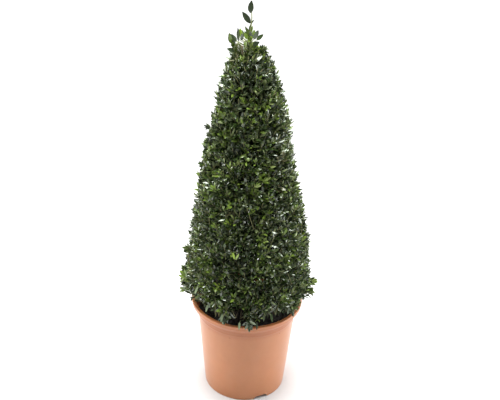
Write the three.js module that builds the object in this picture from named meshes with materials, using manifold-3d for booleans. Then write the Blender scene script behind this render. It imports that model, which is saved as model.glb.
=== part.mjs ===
// Clipped boxwood cone in a terracotta-coloured plastic pot.
// Millimetres, +Z up. The origin is the centre of the pot's underside, and the front of the plant faces -Y.

import * as THREE from "three";
import { mergeVertices } from "three/addons/utils/BufferGeometryUtils.js";
import Module from "manifold-3d";

// Pot
const POT_HEIGHT = 208;
const RIM_RADIUS = 115;
const RIM_BAND_HEIGHT = 9;
const RIM_THICKNESS = 2.8;
const LIP_INNER_RADIUS = 107.5;
const EDGE_ROUND = 1.5;
const COVE_HEIGHT = 22;
const WALL_TOP_RADIUS = 102.5;
const FOOT_RADIUS = 84.5;
const WALL = 2.6;
const FLOOR_LIFT = 8;
const HUB_RADIUS = 20;
const POT_SIDES = 40;

// Notches and drain holes in the foot of the pot
const NOTCH_COUNT = 3;
const NOTCH_AZIMUTH = 24;
const NOTCH_WIDTH = 33;
const NOTCH_HEIGHT = 7.5;
const NOTCH_SLANT = 8;
const DRAIN_COUNT = 6;
const DRAIN_RADIUS = 5;
const DRAIN_RING_RADIUS = 55;
const DRAIN_SIDES = 10;

// Growing medium
const MEDIUM_TOP = 184;
const MEDIUM_EDGE_DROP = 3;
const MEDIUM_FLAT_RADIUS = 40;

// Stem
const STEM_TOP = 330;
const STEM_FOOT_RADIUS = 15;
const STEM_FLARE_HEIGHT = 14;
const STEM_RADIUS = 9;
const STEM_TOP_RADIUS = 7;
const STEM_SIDES = 12;

// Crown
const SKIRT_HEIGHT = 252;
const SKIRT_RADIUS = 133;
const SHOULDER_HEIGHT = 690;
const SHOULDER_RADIUS = 54;
const CROWN_TOP = 758;
const FLANK_BOW = 7;
const CAP_POWER = 1.5;
const FLANK_RINGS = 24;
const CAP_RINGS = 6;
const CROWN_SIDES = 44;
const CROWN_LEAN_PER_MM = -0.018;
const LUMP_DEPTH = 6;
const SKIRT_WAVE = 6;
const SKIRT_WAVE_LOBES = 5;
const SKIRT_WAVE_PHASE = 0.7;
const UNDERSIDE_HEIGHT = 201;
const UNDERSIDE_RADIUS = 78;
const UNDERSIDE_EDGE = [
  { radius: 94, height: 208 },
  { radius: 108, height: 220 },
  { radius: 123, height: 235 },
];

// Uneven clipping: each wave has so many lobes round the crown and a pitch up it, and its rows drift sideways
const SURFACE_WAVES = [
  { share: 0.4, lobes: 3, phase: 1.1, pitch: 46, drift: 2, driftLobes: 1 },
  { share: 0.35, lobes: 7, phase: 0.4, pitch: 24, drift: 2, driftLobes: 2 },
  { share: 0.25, lobes: 12, phase: 2.3, pitch: 13, drift: 3, driftLobes: 3 },
];

// Leader at the top of the crown
const LEADER_FOOT = 712;
const LEADER_TOP = 806;
const LEADER_RADIUS = 1.6;
const LEADER_TIP_RADIUS = 0.9;
const LEADER_SIDES = 8;

// Tufts that stand out of the clipped surface, each from a foot inside the crown to its own tip
const TUFT_SIDES = 10;
const TUFT_RINGS = 7;
const TUFT_LUMP = 0.14;
const TUFT_LOBES = 3;
const TUFT_WAVES = 2;
const TUFT_TAPER = 0.3;
const TUFTS = [
  { name: "leader_tip_leaves", foot: [-11, 0, 803], tip: [-11.4, 0, 832], width: 9 },
  { name: "leader_left_leaf", foot: [-9.5, 0, 785], tip: [-25, 0, 812], width: 9 },
  { name: "leader_young_leaves", foot: [-11.5, 0, 750], tip: [-11.5, 0, 792], width: 16 },
  { name: "crest_tuft", foot: [-4, -2, 738], tip: [3, -2, 779], width: 20 },
  { name: "left_shoulder_tuft", foot: [-30, 0, 700], tip: [-47, 0, 772], width: 28 },
  { name: "left_upright_shoot", foot: [-29, -4, 738], tip: [-34, -4, 784], width: 9 },
  { name: "right_shoulder_tuft", foot: [4, 0, 716], tip: [20, 0, 751], width: 20 },
  { name: "upper_left_sprig", foot: [-66, -5, 582], tip: [-93, -5, 595], width: 16 },
  { name: "lower_left_tuft_upper", foot: [-98, -10, 316], tip: [-133, -12, 328], width: 30 },
  { name: "lower_left_tuft_middle", foot: [-104, -12, 278], tip: [-138, -14, 286], width: 38 },
  { name: "lower_left_tuft_lower", foot: [-106, -12, 250], tip: [-138, -14, 246], width: 32 },
  { name: "lower_right_tuft_upper", foot: [108, -10, 262], tip: [145, -12, 258], width: 26 },
  { name: "lower_right_tuft_lower", foot: [104, -14, 246], tip: [140, -18, 232], width: 26 },
  { name: "skirt_front_tuft", foot: [4, -104, 252], tip: [8, -127, 203], width: 28 },
  { name: "skirt_front_left_tuft", foot: [-38, -90, 250], tip: [-47, -117, 212], width: 26 },
  { name: "skirt_right_tuft", foot: [78, -70, 250], tip: [98, -84, 218], width: 24 },
];

// Fits
const GAP = 0.3;
const CUT_CLEARANCE = 0.4;
const MERGE_DISTANCE = 1e-3;

const wasm = await Module();
wasm.setup();

// A geometry of positions only, with shared vertices and without flattened triangles.
function bareGeometry(geometry) {
  const bare = geometry.clone();
  bare.deleteAttribute("normal");
  bare.deleteAttribute("uv");
  const merged = mergeVertices(bare, MERGE_DISTANCE);
  const corners = Array.from(merged.index.array);
  const kept = [];
  for (let i = 0; i < corners.length; i += 3) {
    const triangle = corners.slice(i, i + 3);
    if (new Set(triangle).size === triangle.length) kept.push(...triangle);
  }
  merged.setIndex(kept);
  return merged;
}

function toSolid(geometry) {
  const bare = bareGeometry(geometry);
  return new wasm.Manifold(
    new wasm.Mesh({
      numProp: 3,
      vertProperties: Float32Array.from(bare.attributes.position.array),
      triVerts: Uint32Array.from(bare.index.array),
    }),
  );
}

function toGeometry(solid) {
  const { vertProperties, triVerts } = solid.getMesh();
  const geometry = new THREE.BufferGeometry();
  geometry.setAttribute("position", new THREE.BufferAttribute(Float32Array.from(vertProperties), 3));
  geometry.setIndex(new THREE.BufferAttribute(Uint32Array.from(triVerts), 1));
  return geometry;
}

// A solid of revolution about Z from [radius, height] points.
function lathe(points, sides) {
  const profile = points.map(([radius, height]) => new THREE.Vector2(radius, height));
  return bareGeometry(new THREE.LatheGeometry(profile, sides).rotateX(Math.PI / 2));
}

// Moves every vertex of a geometry by a function of its place.
function reshape(geometry, move) {
  const place = geometry.attributes.position;
  const point = new THREE.Vector3();
  for (let i = 0; i < place.count; i += 1) {
    move(point.fromBufferAttribute(place, i));
    place.setXYZ(i, point.x, point.y, point.z);
  }
  return geometry;
}

// Outer radius of the straight conical pot wall at a height.
function wallRadius(height) {
  const wallTop = POT_HEIGHT - COVE_HEIGHT;
  return THREE.MathUtils.mapLinear(height, 0, wallTop, FOOT_RADIUS, WALL_TOP_RADIUS);
}

// Flank of the pot from its foot to its rolled lip and back down the inside, with a raised floor and a hub.
function potProfile() {
  const coveFoot = POT_HEIGHT - COVE_HEIGHT;
  const bandFoot = POT_HEIGHT - RIM_BAND_HEIGHT;
  const flangeFoot = POT_HEIGHT - RIM_THICKNESS;
  const bandInner = RIM_RADIUS - RIM_THICKNESS;
  const neck = (WALL_TOP_RADIUS + LIP_INNER_RADIUS) / 2 + RIM_THICKNESS;
  return [
    [HUB_RADIUS, 0],
    [HUB_RADIUS, FLOOR_LIFT],
    [wallRadius(0) - WALL, FLOOR_LIFT],
    [wallRadius(0) - WALL, 0],
    [wallRadius(0), 0],
    [wallRadius(coveFoot), coveFoot],
    [neck, bandFoot - EDGE_ROUND],
    [LIP_INNER_RADIUS + RIM_THICKNESS, flangeFoot],
    [bandInner, flangeFoot],
    [bandInner, bandFoot],
    [RIM_RADIUS, bandFoot],
    [RIM_RADIUS, POT_HEIGHT - EDGE_ROUND],
    [RIM_RADIUS - EDGE_ROUND, POT_HEIGHT],
    [LIP_INNER_RADIUS + EDGE_ROUND, POT_HEIGHT],
    [LIP_INNER_RADIUS, POT_HEIGHT - EDGE_ROUND],
    [neck - RIM_THICKNESS, bandFoot - EDGE_ROUND],
    [wallRadius(coveFoot) - WALL, coveFoot],
    [wallRadius(FLOOR_LIFT + WALL) - WALL, FLOOR_LIFT + WALL],
  ];
}

// Turns a cutter that points to the front by an angle to the front's right.
function turned(geometry, degrees) {
  return geometry.clone().rotateZ(THREE.MathUtils.degToRad(degrees));
}

// A notch as a trapezoid with one slanted side, pushed out through the foot ring.
function notchCutter() {
  const half = NOTCH_WIDTH / 2;
  const outline = new THREE.Shape();
  outline.moveTo(-half, -NOTCH_HEIGHT);
  outline.lineTo(half, -NOTCH_HEIGHT);
  outline.lineTo(half, NOTCH_HEIGHT);
  outline.lineTo(NOTCH_SLANT - half, NOTCH_HEIGHT);
  outline.lineTo(-half, 0);
  const depth = FOOT_RADIUS / 2;
  const cutter = new THREE.ExtrudeGeometry(outline, { depth, bevelEnabled: false });
  return cutter.rotateX(Math.PI / 2).translate(0, -FOOT_RADIUS / 2 - WALL, 0);
}

function drainCutter() {
  const cutter = new THREE.CylinderGeometry(DRAIN_RADIUS, DRAIN_RADIUS, 4 * FLOOR_LIFT, DRAIN_SIDES);
  return cutter.rotateX(Math.PI / 2).translate(0, -DRAIN_RING_RADIUS, FLOOR_LIFT);
}

function potGeometry() {
  const floorTop = FLOOR_LIFT + WALL;
  const profile = [[0, 0], ...potProfile(), [0, floorTop]];
  let pot = toSolid(lathe(profile, POT_SIDES));
  for (let i = 0; i < NOTCH_COUNT; i += 1) {
    pot = pot.subtract(toSolid(turned(notchCutter(), NOTCH_AZIMUTH + (360 * i) / NOTCH_COUNT)));
  }
  for (let i = 0; i < DRAIN_COUNT; i += 1) {
    pot = pot.subtract(toSolid(turned(drainCutter(), (360 * i) / DRAIN_COUNT)));
  }
  return toGeometry(pot);
}

// The plug of growing medium, flat round the stem and a little lower at the wall.
function mediumGeometry() {
  const bottom = FLOOR_LIFT + WALL + GAP;
  const edgeTop = MEDIUM_TOP - MEDIUM_EDGE_DROP;
  const inset = WALL + GAP;
  const profile = [
    [0, bottom],
    [wallRadius(bottom) - inset, bottom],
    [wallRadius(edgeTop) - inset, edgeTop],
    [MEDIUM_FLAT_RADIUS, MEDIUM_TOP],
    [0, MEDIUM_TOP],
  ];
  return lathe(profile, POT_SIDES);
}

// Where the plant's own axis stands at a height: it leans a little to the left as it rises.
function axisShift(height) {
  return CROWN_LEAN_PER_MM * Math.max(0, height - SKIRT_HEIGHT);
}

// A stem with a root flare over its flat cut, tapering to its top; grow widens it into a cutter.
function stemGeometry(grow) {
  const foot = MEDIUM_TOP + GAP - grow;
  const profile = [
    [0, foot],
    [STEM_FOOT_RADIUS + grow, foot],
    [(STEM_FOOT_RADIUS + STEM_RADIUS) / 2 + grow, MEDIUM_TOP + STEM_FLARE_HEIGHT / 3],
    [STEM_RADIUS + grow, MEDIUM_TOP + STEM_FLARE_HEIGHT],
    [STEM_TOP_RADIUS + grow, STEM_TOP + grow],
    [0, STEM_TOP + grow],
  ];
  return reshape(lathe(profile, STEM_SIDES), (p) => {
    p.x += axisShift(p.z);
  });
}

function leaderGeometry(grow) {
  const profile = [
    [0, LEADER_FOOT - grow],
    [LEADER_RADIUS + grow, LEADER_FOOT - grow],
    [LEADER_TIP_RADIUS + grow, LEADER_TOP + grow],
    [0, LEADER_TOP + grow],
  ];
  return reshape(lathe(profile, LEADER_SIDES), (p) => {
    p.x += axisShift(LEADER_TOP);
  });
}

// Clipped profile: a slightly bowed flank up to the shoulder, then a superellipse cap.
function crownProfile() {
  const points = [[0, UNDERSIDE_HEIGHT], [UNDERSIDE_RADIUS, UNDERSIDE_HEIGHT]];
  for (const { radius, height } of UNDERSIDE_EDGE) points.push([radius, height]);
  for (let i = 0; i <= FLANK_RINGS; i += 1) {
    const t = i / FLANK_RINGS;
    const straight = THREE.MathUtils.lerp(SKIRT_RADIUS, SHOULDER_RADIUS, t);
    const height = THREE.MathUtils.lerp(SKIRT_HEIGHT, SHOULDER_HEIGHT, t);
    points.push([straight + FLANK_BOW * Math.sin(Math.PI * t), height]);
  }
  for (let i = 1; i <= CAP_RINGS; i += 1) {
    const t = Math.sin((Math.PI / 2) * (i / CAP_RINGS));
    const share = Math.max(0, 1 - t ** CAP_POWER) ** (1 / CAP_POWER);
    points.push([SHOULDER_RADIUS * share, THREE.MathUtils.lerp(SHOULDER_HEIGHT, CROWN_TOP, t)]);
  }
  return points;
}

// Shallow hollows and swellings of the clipped surface, between -1 and 1.
function lumps(angle, height) {
  return SURFACE_WAVES.reduce((sum, { share, lobes, phase, pitch, drift, driftLobes }) => {
    const round = Math.sin(lobes * angle + phase);
    const upward = Math.sin(height / pitch + drift * Math.sin(driftLobes * angle));
    return sum + share * round * upward;
  }, 0);
}

// The whole clipped crown; grow pushes its surface out evenly to make a cutter for its neighbours.
function crownGeometry(grow) {
  return reshape(lathe(crownProfile(), CROWN_SIDES), (p) => {
    const angle = Math.atan2(p.y, p.x);
    const radius = Math.hypot(p.x, p.y);
    const raised = THREE.MathUtils.smoothstep(p.z, UNDERSIDE_HEIGHT, SKIRT_HEIGHT);
    const fall = 1 - THREE.MathUtils.smoothstep(p.z, SKIRT_HEIGHT, 2 * SKIRT_HEIGHT - UNDERSIDE_HEIGHT);
    const wave = SKIRT_WAVE * raised * fall * Math.sin(SKIRT_WAVE_LOBES * angle + SKIRT_WAVE_PHASE);
    const slope = Math.min(1, radius / SHOULDER_RADIUS);
    const outward = LUMP_DEPTH * raised * slope * lumps(angle, p.z) + grow * slope;
    const shift = axisShift(p.z);
    const isUnderside = p.z < SKIRT_HEIGHT;
    const isCap = radius < SHOULDER_RADIUS;
    p.x += Math.cos(angle) * outward + shift;
    p.y += Math.sin(angle) * outward;
    p.z += wave;
    if (isUnderside) p.z -= grow;
    else if (isCap) p.z += grow;
  });
}

// An uneven spindle of leaves from its foot to its tip, fuller below the middle; grow makes it a cutter.
function tuftGeometry({ foot, tip, width }, index, grow) {
  const from = new THREE.Vector3(...foot);
  const axis = new THREE.Vector3(...tip).sub(from);
  const length = axis.length();
  const turn = new THREE.Quaternion().setFromUnitVectors(new THREE.Vector3(0, 0, 1), axis.normalize());
  const ball = new THREE.SphereGeometry(1, TUFT_SIDES, TUFT_RINGS).rotateX(Math.PI / 2);
  return reshape(bareGeometry(ball), (p) => {
    const angle = Math.atan2(p.y, p.x);
    const t = (p.z + 1) / 2;
    const ripple = Math.sin(TUFT_LOBES * angle + index) * Math.cos(2 * Math.PI * TUFT_WAVES * t + index);
    const uneven = 1 + TUFT_LUMP * ripple;
    const share = (width / 2) * uneven * (1 - TUFT_TAPER * t) + grow;
    const along = t * length + (2 * t - 1) * grow;
    p.set(p.x * share, p.y * share, along).applyQuaternion(turn).add(from);
  });
}

// The lip of the pot, a little enlarged, which the hanging tufts are kept clear of.
function lipCutter() {
  const inner = LIP_INNER_RADIUS - CUT_CLEARANCE;
  const outer = RIM_RADIUS + CUT_CLEARANCE;
  const bottom = POT_HEIGHT - 2 * COVE_HEIGHT;
  const top = POT_HEIGHT + CUT_CLEARANCE;
  const foot = wallRadius(bottom) - WALL - CUT_CLEARANCE;
  return lathe([[foot, bottom], [outer, bottom], [outer, top], [inner, top], [foot, bottom]], POT_SIDES);
}

function finish(color, roughness) {
  return new THREE.MeshStandardMaterial({ color, roughness, metalness: 0 });
}

function part(name, geometry, material) {
  const mesh = new THREE.Mesh(geometry, material);
  mesh.name = name;
  return mesh;
}

const terracottaPlastic = finish(0xc98d6c, 0.45);
const darkCompost = finish(0x1f1a16, 0.95);
const bark = finish(0x8a7a5c, 0.9);
const greenBark = finish(0x7f9a4a, 0.6);
const clippedLeaves = finish(0x33421f, 0.5);
const youngLeaves = finish(0x5f7a2c, 0.5);

const group = new THREE.Group();
group.add(part("pot", potGeometry(), terracottaPlastic));
group.add(part("growing_medium", mediumGeometry(), darkCompost));
group.add(part("main_stem", stemGeometry(0), bark));
group.add(part("leader_stem", leaderGeometry(0), greenBark));

const stemPocket = toSolid(stemGeometry(CUT_CLEARANCE));
const leaderPocket = toSolid(leaderGeometry(CUT_CLEARANCE));
const crown = toSolid(crownGeometry(0)).subtract(stemPocket).subtract(leaderPocket);
group.add(part("crown_cone", toGeometry(crown), clippedLeaves));

// Each tuft is cut back by the crown, the leader, the lip and the tufts before it.
let taken = toSolid(crownGeometry(CUT_CLEARANCE)).add(leaderPocket).add(toSolid(lipCutter()));
TUFTS.forEach((tuft, index) => {
  const solid = toSolid(tuftGeometry(tuft, index, 0)).subtract(taken);
  group.add(part(tuft.name, toGeometry(solid), youngLeaves));
  taken = taken.add(toSolid(tuftGeometry(tuft, index, CUT_CLEARANCE)));
});

export default group;
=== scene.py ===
"""A boxwood clipped to a slender cone, with its leader shoot, growing in a terracotta-coloured plastic pot.

Lengths are in metres and angles in degrees unless a name says otherwise. The front of the plant faces -Y.
"""

import logging
import math
from dataclasses import dataclass, field, replace
from enum import Enum

import bpy
import numpy as np
from mathutils import Matrix, Vector
from mathutils.kdtree import KDTree


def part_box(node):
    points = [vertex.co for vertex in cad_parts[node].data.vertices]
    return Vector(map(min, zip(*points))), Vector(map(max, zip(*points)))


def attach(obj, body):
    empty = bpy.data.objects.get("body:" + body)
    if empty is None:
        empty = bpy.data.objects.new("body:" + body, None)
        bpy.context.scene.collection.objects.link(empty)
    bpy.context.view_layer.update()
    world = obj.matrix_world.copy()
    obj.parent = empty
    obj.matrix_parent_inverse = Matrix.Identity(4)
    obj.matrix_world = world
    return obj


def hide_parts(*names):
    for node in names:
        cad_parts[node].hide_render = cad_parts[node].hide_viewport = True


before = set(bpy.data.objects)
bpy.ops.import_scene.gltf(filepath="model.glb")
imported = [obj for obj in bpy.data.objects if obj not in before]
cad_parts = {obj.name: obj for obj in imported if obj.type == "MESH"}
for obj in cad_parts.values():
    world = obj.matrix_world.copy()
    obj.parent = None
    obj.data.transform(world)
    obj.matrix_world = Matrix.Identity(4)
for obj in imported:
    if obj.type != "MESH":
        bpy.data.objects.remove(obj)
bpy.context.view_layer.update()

logging.basicConfig(level=logging.INFO, format="%(message)s")
LOG = logging.getLogger("topiary")

BODY = "root"
UP = np.array([0.0, 0.0, 1.0])
GOLDEN_TURN = math.pi * (3.0 - math.sqrt(5.0))


class Slot(Enum):
    """Material slots of the record."""

    POT = "pot_plastic"
    COMPOST = "compost"
    BARK = "stem_bark"
    GREEN = "green_shoot"
    LEAVES = "clipped_leaves"
    YOUNG = "young_leaves"


# ---------------------------------------------------------------- arrays


def unit(vectors: np.ndarray) -> np.ndarray:
    """Vectors of length one: each is divided by its own length."""
    return vectors / np.maximum(np.linalg.norm(vectors, axis=-1, keepdims=True), 1e-12)


def smooth(value: np.ndarray, low: float, high: float) -> np.ndarray:
    """Smoothstep: nought up to low, one from high, and 3t^2 - 2t^3 between them."""
    t = np.clip((value - low) / (high - low), 0.0, 1.0)
    return t * t * (3.0 - 2.0 * t)


def value_noise(points: np.ndarray, cell: float, seed: int) -> np.ndarray:
    """Smooth noise from -1 to 1.

    Each corner of a cubic lattice gets a hashed number, and a point blends the numbers of the eight corners
    round it by the smoothstep of its place in the cell.

    Args:
        points: places, of shape (n, 3).
        cell: width of a lattice cell.
        seed: number that picks the lattice.

    Returns:
        One value a point, of shape (n,).
    """
    scaled = points / cell
    corner = np.floor(scaled).astype(np.int64)
    part = scaled - corner
    weight = part * part * (3.0 - 2.0 * part)
    total = np.zeros(len(points))
    for step in np.ndindex(2, 2, 2):
        at = corner + np.array(step)
        mixed = (at[:, 0] * 73856093) ^ (at[:, 1] * 19349663) ^ (at[:, 2] * 83492791) ^ (seed * 40503)
        mixed = (mixed ^ (mixed >> 13)) * 1274126177
        number = ((mixed ^ (mixed >> 16)) & 0xFFFF) / 65535.0
        total += number * np.prod(np.where(step, weight, 1.0 - weight), axis=1)
    return 2.0 * total - 1.0


def grid_quads(rows: int, columns: int, wrap: bool) -> np.ndarray:
    """Faces between neighbouring rows and columns of a grid of vertices numbered row by row.

    Args:
        rows: number of rows.
        columns: number of columns.
        wrap: whether the last column joins the first.

    Returns:
        Vertex numbers, of shape (faces, 4).
    """
    row = np.arange(rows - 1)[:, None] * columns
    column = np.arange(columns if wrap else columns - 1)[None, :]
    beside = (column + 1) % columns
    above = row + columns
    return np.stack([row + column, row + beside, above + beside, above + column], axis=-1).reshape(-1, 4)


# ---------------------------------------------------------------- meshes


@dataclass
class Faces:
    """Quads and triangles of one mesh, each with the number of its material."""

    quads: np.ndarray = field(default_factory=lambda: np.zeros((0, 4), int))
    triangles: np.ndarray = field(default_factory=lambda: np.zeros((0, 3), int))
    quad_material: np.ndarray | None = None
    triangle_material: np.ndarray | None = None

    def loops(self) -> np.ndarray:
        """Vertex number of every face corner, the quads' first."""
        return np.concatenate([self.quads.ravel(), self.triangles.ravel()])

    def starts(self) -> np.ndarray:
        """First corner of every face."""
        quads = 4 * np.arange(len(self.quads))
        return np.concatenate([quads, 4 * len(self.quads) + 3 * np.arange(len(self.triangles))])

    def materials(self) -> np.ndarray:
        """Material number of every face."""
        quads = np.zeros(len(self.quads), int) if self.quad_material is None else self.quad_material
        triangles = np.zeros(len(self.triangles), int) if self.triangle_material is None else self.triangle_material
        return np.concatenate([quads, triangles])


def new_piece(
    name: str,
    vertices: np.ndarray,
    faces: Faces,
    materials: list[bpy.types.Material],
    stands_for: tuple[str, ...] = (),
) -> bpy.types.Object:
    """Puts arrays into a smooth-shaded mesh that rides on the plant's one body.

    Args:
        name: the piece's name.
        vertices: places, of shape (n, 3).
        faces: the mesh's faces.
        materials: finishes that the faces' material numbers count in.
        stands_for: names of the CAD nodes that the piece replaces.

    Returns:
        The new object, at the origin.
    """
    mesh = bpy.data.meshes.new(name)
    mesh.vertices.add(len(vertices))
    mesh.vertices.foreach_set("co", vertices.astype(np.float32).ravel())
    loops = faces.loops()
    mesh.loops.add(len(loops))
    mesh.loops.foreach_set("vertex_index", loops.astype(np.int32))
    starts = faces.starts()
    mesh.polygons.add(len(starts))
    mesh.polygons.foreach_set("loop_start", starts.astype(np.int32))
    mesh.polygons.foreach_set("material_index", faces.materials().astype(np.int32))
    mesh.polygons.foreach_set("use_smooth", np.ones(len(starts), bool))
    mesh.update(calc_edges=True)
    for material in materials:
        mesh.materials.append(material)
    piece = bpy.data.objects.new(name, mesh)
    bpy.context.scene.collection.objects.link(piece)
    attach(piece, BODY)
    if stands_for:
        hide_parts(*stands_for)
    LOG.info("%s: %d faces", name, len(starts))
    return piece


def mark_sharp(piece: bpy.types.Object, wanted: np.ndarray) -> None:
    """Marks the edges whose number is True in wanted as sharp, so that shading breaks there.

    Args:
        piece: a mesh object.
        wanted: one truth value an edge.
    """
    attribute = piece.data.attributes.get("sharp_edge")
    if attribute is None:
        attribute = piece.data.attributes.new("sharp_edge", "BOOLEAN", "EDGE")
    attribute.data.foreach_set("value", wanted)


def edge_ends(piece: bpy.types.Object) -> np.ndarray:
    """The two vertex numbers of every edge of a mesh object, of shape (edges, 2)."""
    ends = np.zeros(2 * len(piece.data.edges), np.int32)
    piece.data.edges.foreach_get("vertices", ends)
    return ends.reshape(-1, 2)


def node_triangles(name: str) -> np.ndarray:
    """Corners of a CAD node's triangles, of shape (triangles, 3, 3)."""
    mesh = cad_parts[name].data
    mesh.calc_loop_triangles()
    places = np.zeros(3 * len(mesh.vertices), np.float32)
    mesh.vertices.foreach_get("co", places)
    corners = np.zeros(3 * len(mesh.loop_triangles), np.int32)
    mesh.loop_triangles.foreach_get("vertices", corners)
    return places.reshape(-1, 3)[corners.reshape(-1, 3)].astype(float)


@dataclass
class Tubes:
    """Many round limbs that share one number of points and sides.

    A limb is a circle carried along its path: at every point the circle lies across the path's direction, and a
    fixed side vector of the limb, made square to that direction, says where the circle starts.
    """

    paths: np.ndarray
    radii: np.ndarray
    sides: int

    def build(self, relief: np.ndarray | None = None) -> tuple[np.ndarray, Faces]:
        """Works out the closed surface of every limb.

        Args:
            relief: what to add to the radius, of shape (limbs, points, sides), or None.

        Returns:
            The vertices and the faces, with a fan of triangles over each end.
        """
        limbs, points, _ = self.paths.shape
        heading = unit(np.gradient(self.paths, axis=1))
        chord = unit(self.paths[:, -1] - self.paths[:, 0])
        helper = np.where(np.abs(chord[:, 2:]) > 0.8, [[1.0, 0.0, 0.0]], [[0.0, 0.0, 1.0]])
        side = np.cross(chord, helper)[:, None, :]
        side = unit(side - np.sum(side * heading, axis=2, keepdims=True) * heading)
        other = np.cross(heading, side)
        turn = 2.0 * np.pi * np.arange(self.sides) / self.sides
        radius = self.radii[:, :, None] if relief is None else self.radii[:, :, None] + relief
        across = side[:, :, None] * np.cos(turn)[:, None] + other[:, :, None] * np.sin(turn)[:, None]
        ring = self.paths[:, :, None] + across * radius[..., None]
        vertices = np.concatenate(
            [ring.reshape(limbs, -1, 3), self.paths[:, :1], self.paths[:, -1:]], axis=1
        )
        count = points * self.sides
        first = (np.arange(limbs) * (count + 2))[:, None, None]
        quads = (first + grid_quads(points, self.sides, True)[None]).reshape(-1, 4)
        start = np.arange(self.sides)
        after = (start + 1) % self.sides
        low = np.stack([after, start, np.full(self.sides, count)], axis=1)
        last = (points - 1) * self.sides
        high = np.stack([last + start, last + after, np.full(self.sides, count + 1)], axis=1)
        caps = (first + np.concatenate([low, high])[None]).reshape(-1, 3)
        return vertices.reshape(-1, 3), Faces(quads=quads, triangles=caps)


def curved_paths(start: np.ndarray, lift: np.ndarray, end: np.ndarray, points: int) -> np.ndarray:
    """Quadratic Bezier curves: (1-t)^2 start + 2t(1-t) lift + t^2 end.

    Args:
        start: first points, of shape (n, 3).
        lift: control points, of shape (n, 3).
        end: last points, of shape (n, 3).
        points: how many points to give each curve.

    Returns:
        The curves, of shape (n, points, 3).
    """
    t = np.linspace(0.0, 1.0, points)[None, :, None]
    return (1 - t) ** 2 * start[:, None] + 2 * t * (1 - t) * lift[:, None] + t**2 * end[:, None]


# ---------------------------------------------------------------- finishes


class NodeSheet:
    """A material's node tree with short ways to add and join nodes."""

    def __init__(self, name: str) -> None:
        """Starts a material with one Principled shader.

        Args:
            name: the material's name.
        """
        self.material = bpy.data.materials.new(name)
        self.material.use_nodes = True
        self.tree = self.material.node_tree
        self.shader = self.tree.nodes["Principled BSDF"]

    def add(self, kind: str, **settings: object) -> bpy.types.Node:
        """Adds a node.

        Args:
            kind: the node's type name.
            settings: values for the node's properties, or for its input sockets by their name.

        Returns:
            The new node.
        """
        node = self.tree.nodes.new(kind)
        for key, value in settings.items():
            if key in node.inputs:
                node.inputs[key].default_value = value
            else:
                setattr(node, key, value)
        return node

    def join(self, source: bpy.types.NodeSocket, target: bpy.types.NodeSocket) -> None:
        """Links an output socket to an input socket."""
        self.tree.links.new(source, target)

    def set(self, **values: object) -> None:
        """Sets plain values on the shader's own sockets, an underscore standing for a space."""
        for key, value in values.items():
            self.shader.inputs[key.replace("_", " ")].default_value = value

    def place(self, scale: tuple[float, float, float] = (1.0, 1.0, 1.0)) -> bpy.types.NodeSocket:
        """Object coordinates, stretched by a Mapping node."""
        coordinate = self.add("ShaderNodeTexCoord")
        mapping = self.add("ShaderNodeMapping")
        mapping.inputs["Scale"].default_value = scale
        self.join(coordinate.outputs["Object"], mapping.inputs["Vector"])
        return mapping.outputs["Vector"]

    def noise(self, place: bpy.types.NodeSocket, scale: float, detail: float) -> bpy.types.NodeSocket:
        """Strength of a noise of so many cells a metre at a place."""
        node = self.add("ShaderNodeTexNoise", Scale=scale, Detail=detail, Roughness=0.6)
        self.join(place, node.inputs["Vector"])
        return node.outputs["Fac"]

    def ramp(self, value: bpy.types.NodeSocket, stops: list[tuple[float, tuple]]) -> bpy.types.NodeSocket:
        """A colour looked up by a value between stops of (position, colour)."""
        node = self.add("ShaderNodeValToRGB")
        elements = node.color_ramp.elements
        for extra in range(len(stops) - 2):
            elements.new(stops[extra + 1][0])
        for element, (position, colour) in zip(elements, stops):
            element.position = position
            element.color = (*colour, 1.0)
        self.join(value, node.inputs["Fac"])
        return node.outputs["Color"]

    def span(self, value: bpy.types.NodeSocket, low: float, high: float) -> bpy.types.NodeSocket:
        """A value from nought to one spread between low and high."""
        node = self.add("ShaderNodeMapRange")
        node.inputs["To Min"].default_value = low
        node.inputs["To Max"].default_value = high
        self.join(value, node.inputs["Value"])
        return node.outputs["Result"]

    def tint(self, colour: bpy.types.NodeSocket, by: bpy.types.NodeSocket) -> bpy.types.NodeSocket:
        """A colour multiplied by another."""
        node = self.add("ShaderNodeMix", data_type="RGBA", blend_type="MULTIPLY")
        node.inputs["Factor"].default_value = 1.0
        self.join(colour, node.inputs[6])
        self.join(by, node.inputs[7])
        return node.outputs[2]

    def level(self, low: float, high: float) -> bpy.types.NodeSocket:
        """Height in the object, from nought at low to one at high."""
        split = self.add("ShaderNodeSeparateXYZ")
        self.join(self.place(), split.inputs["Vector"])
        node = self.add("ShaderNodeMapRange")
        node.inputs["From Min"].default_value = low
        node.inputs["From Max"].default_value = high
        self.join(split.outputs["Z"], node.inputs["Value"])
        return node.outputs["Result"]

    def bump(self, height: bpy.types.NodeSocket, depth: float, strength: float) -> None:
        """Raises the shader's normal by a height in metres times depth."""
        node = self.add("ShaderNodeBump", Distance=depth, Strength=strength)
        self.join(height, node.inputs["Height"])
        self.join(node.outputs["Normal"], self.shader.inputs["Normal"])


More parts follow.
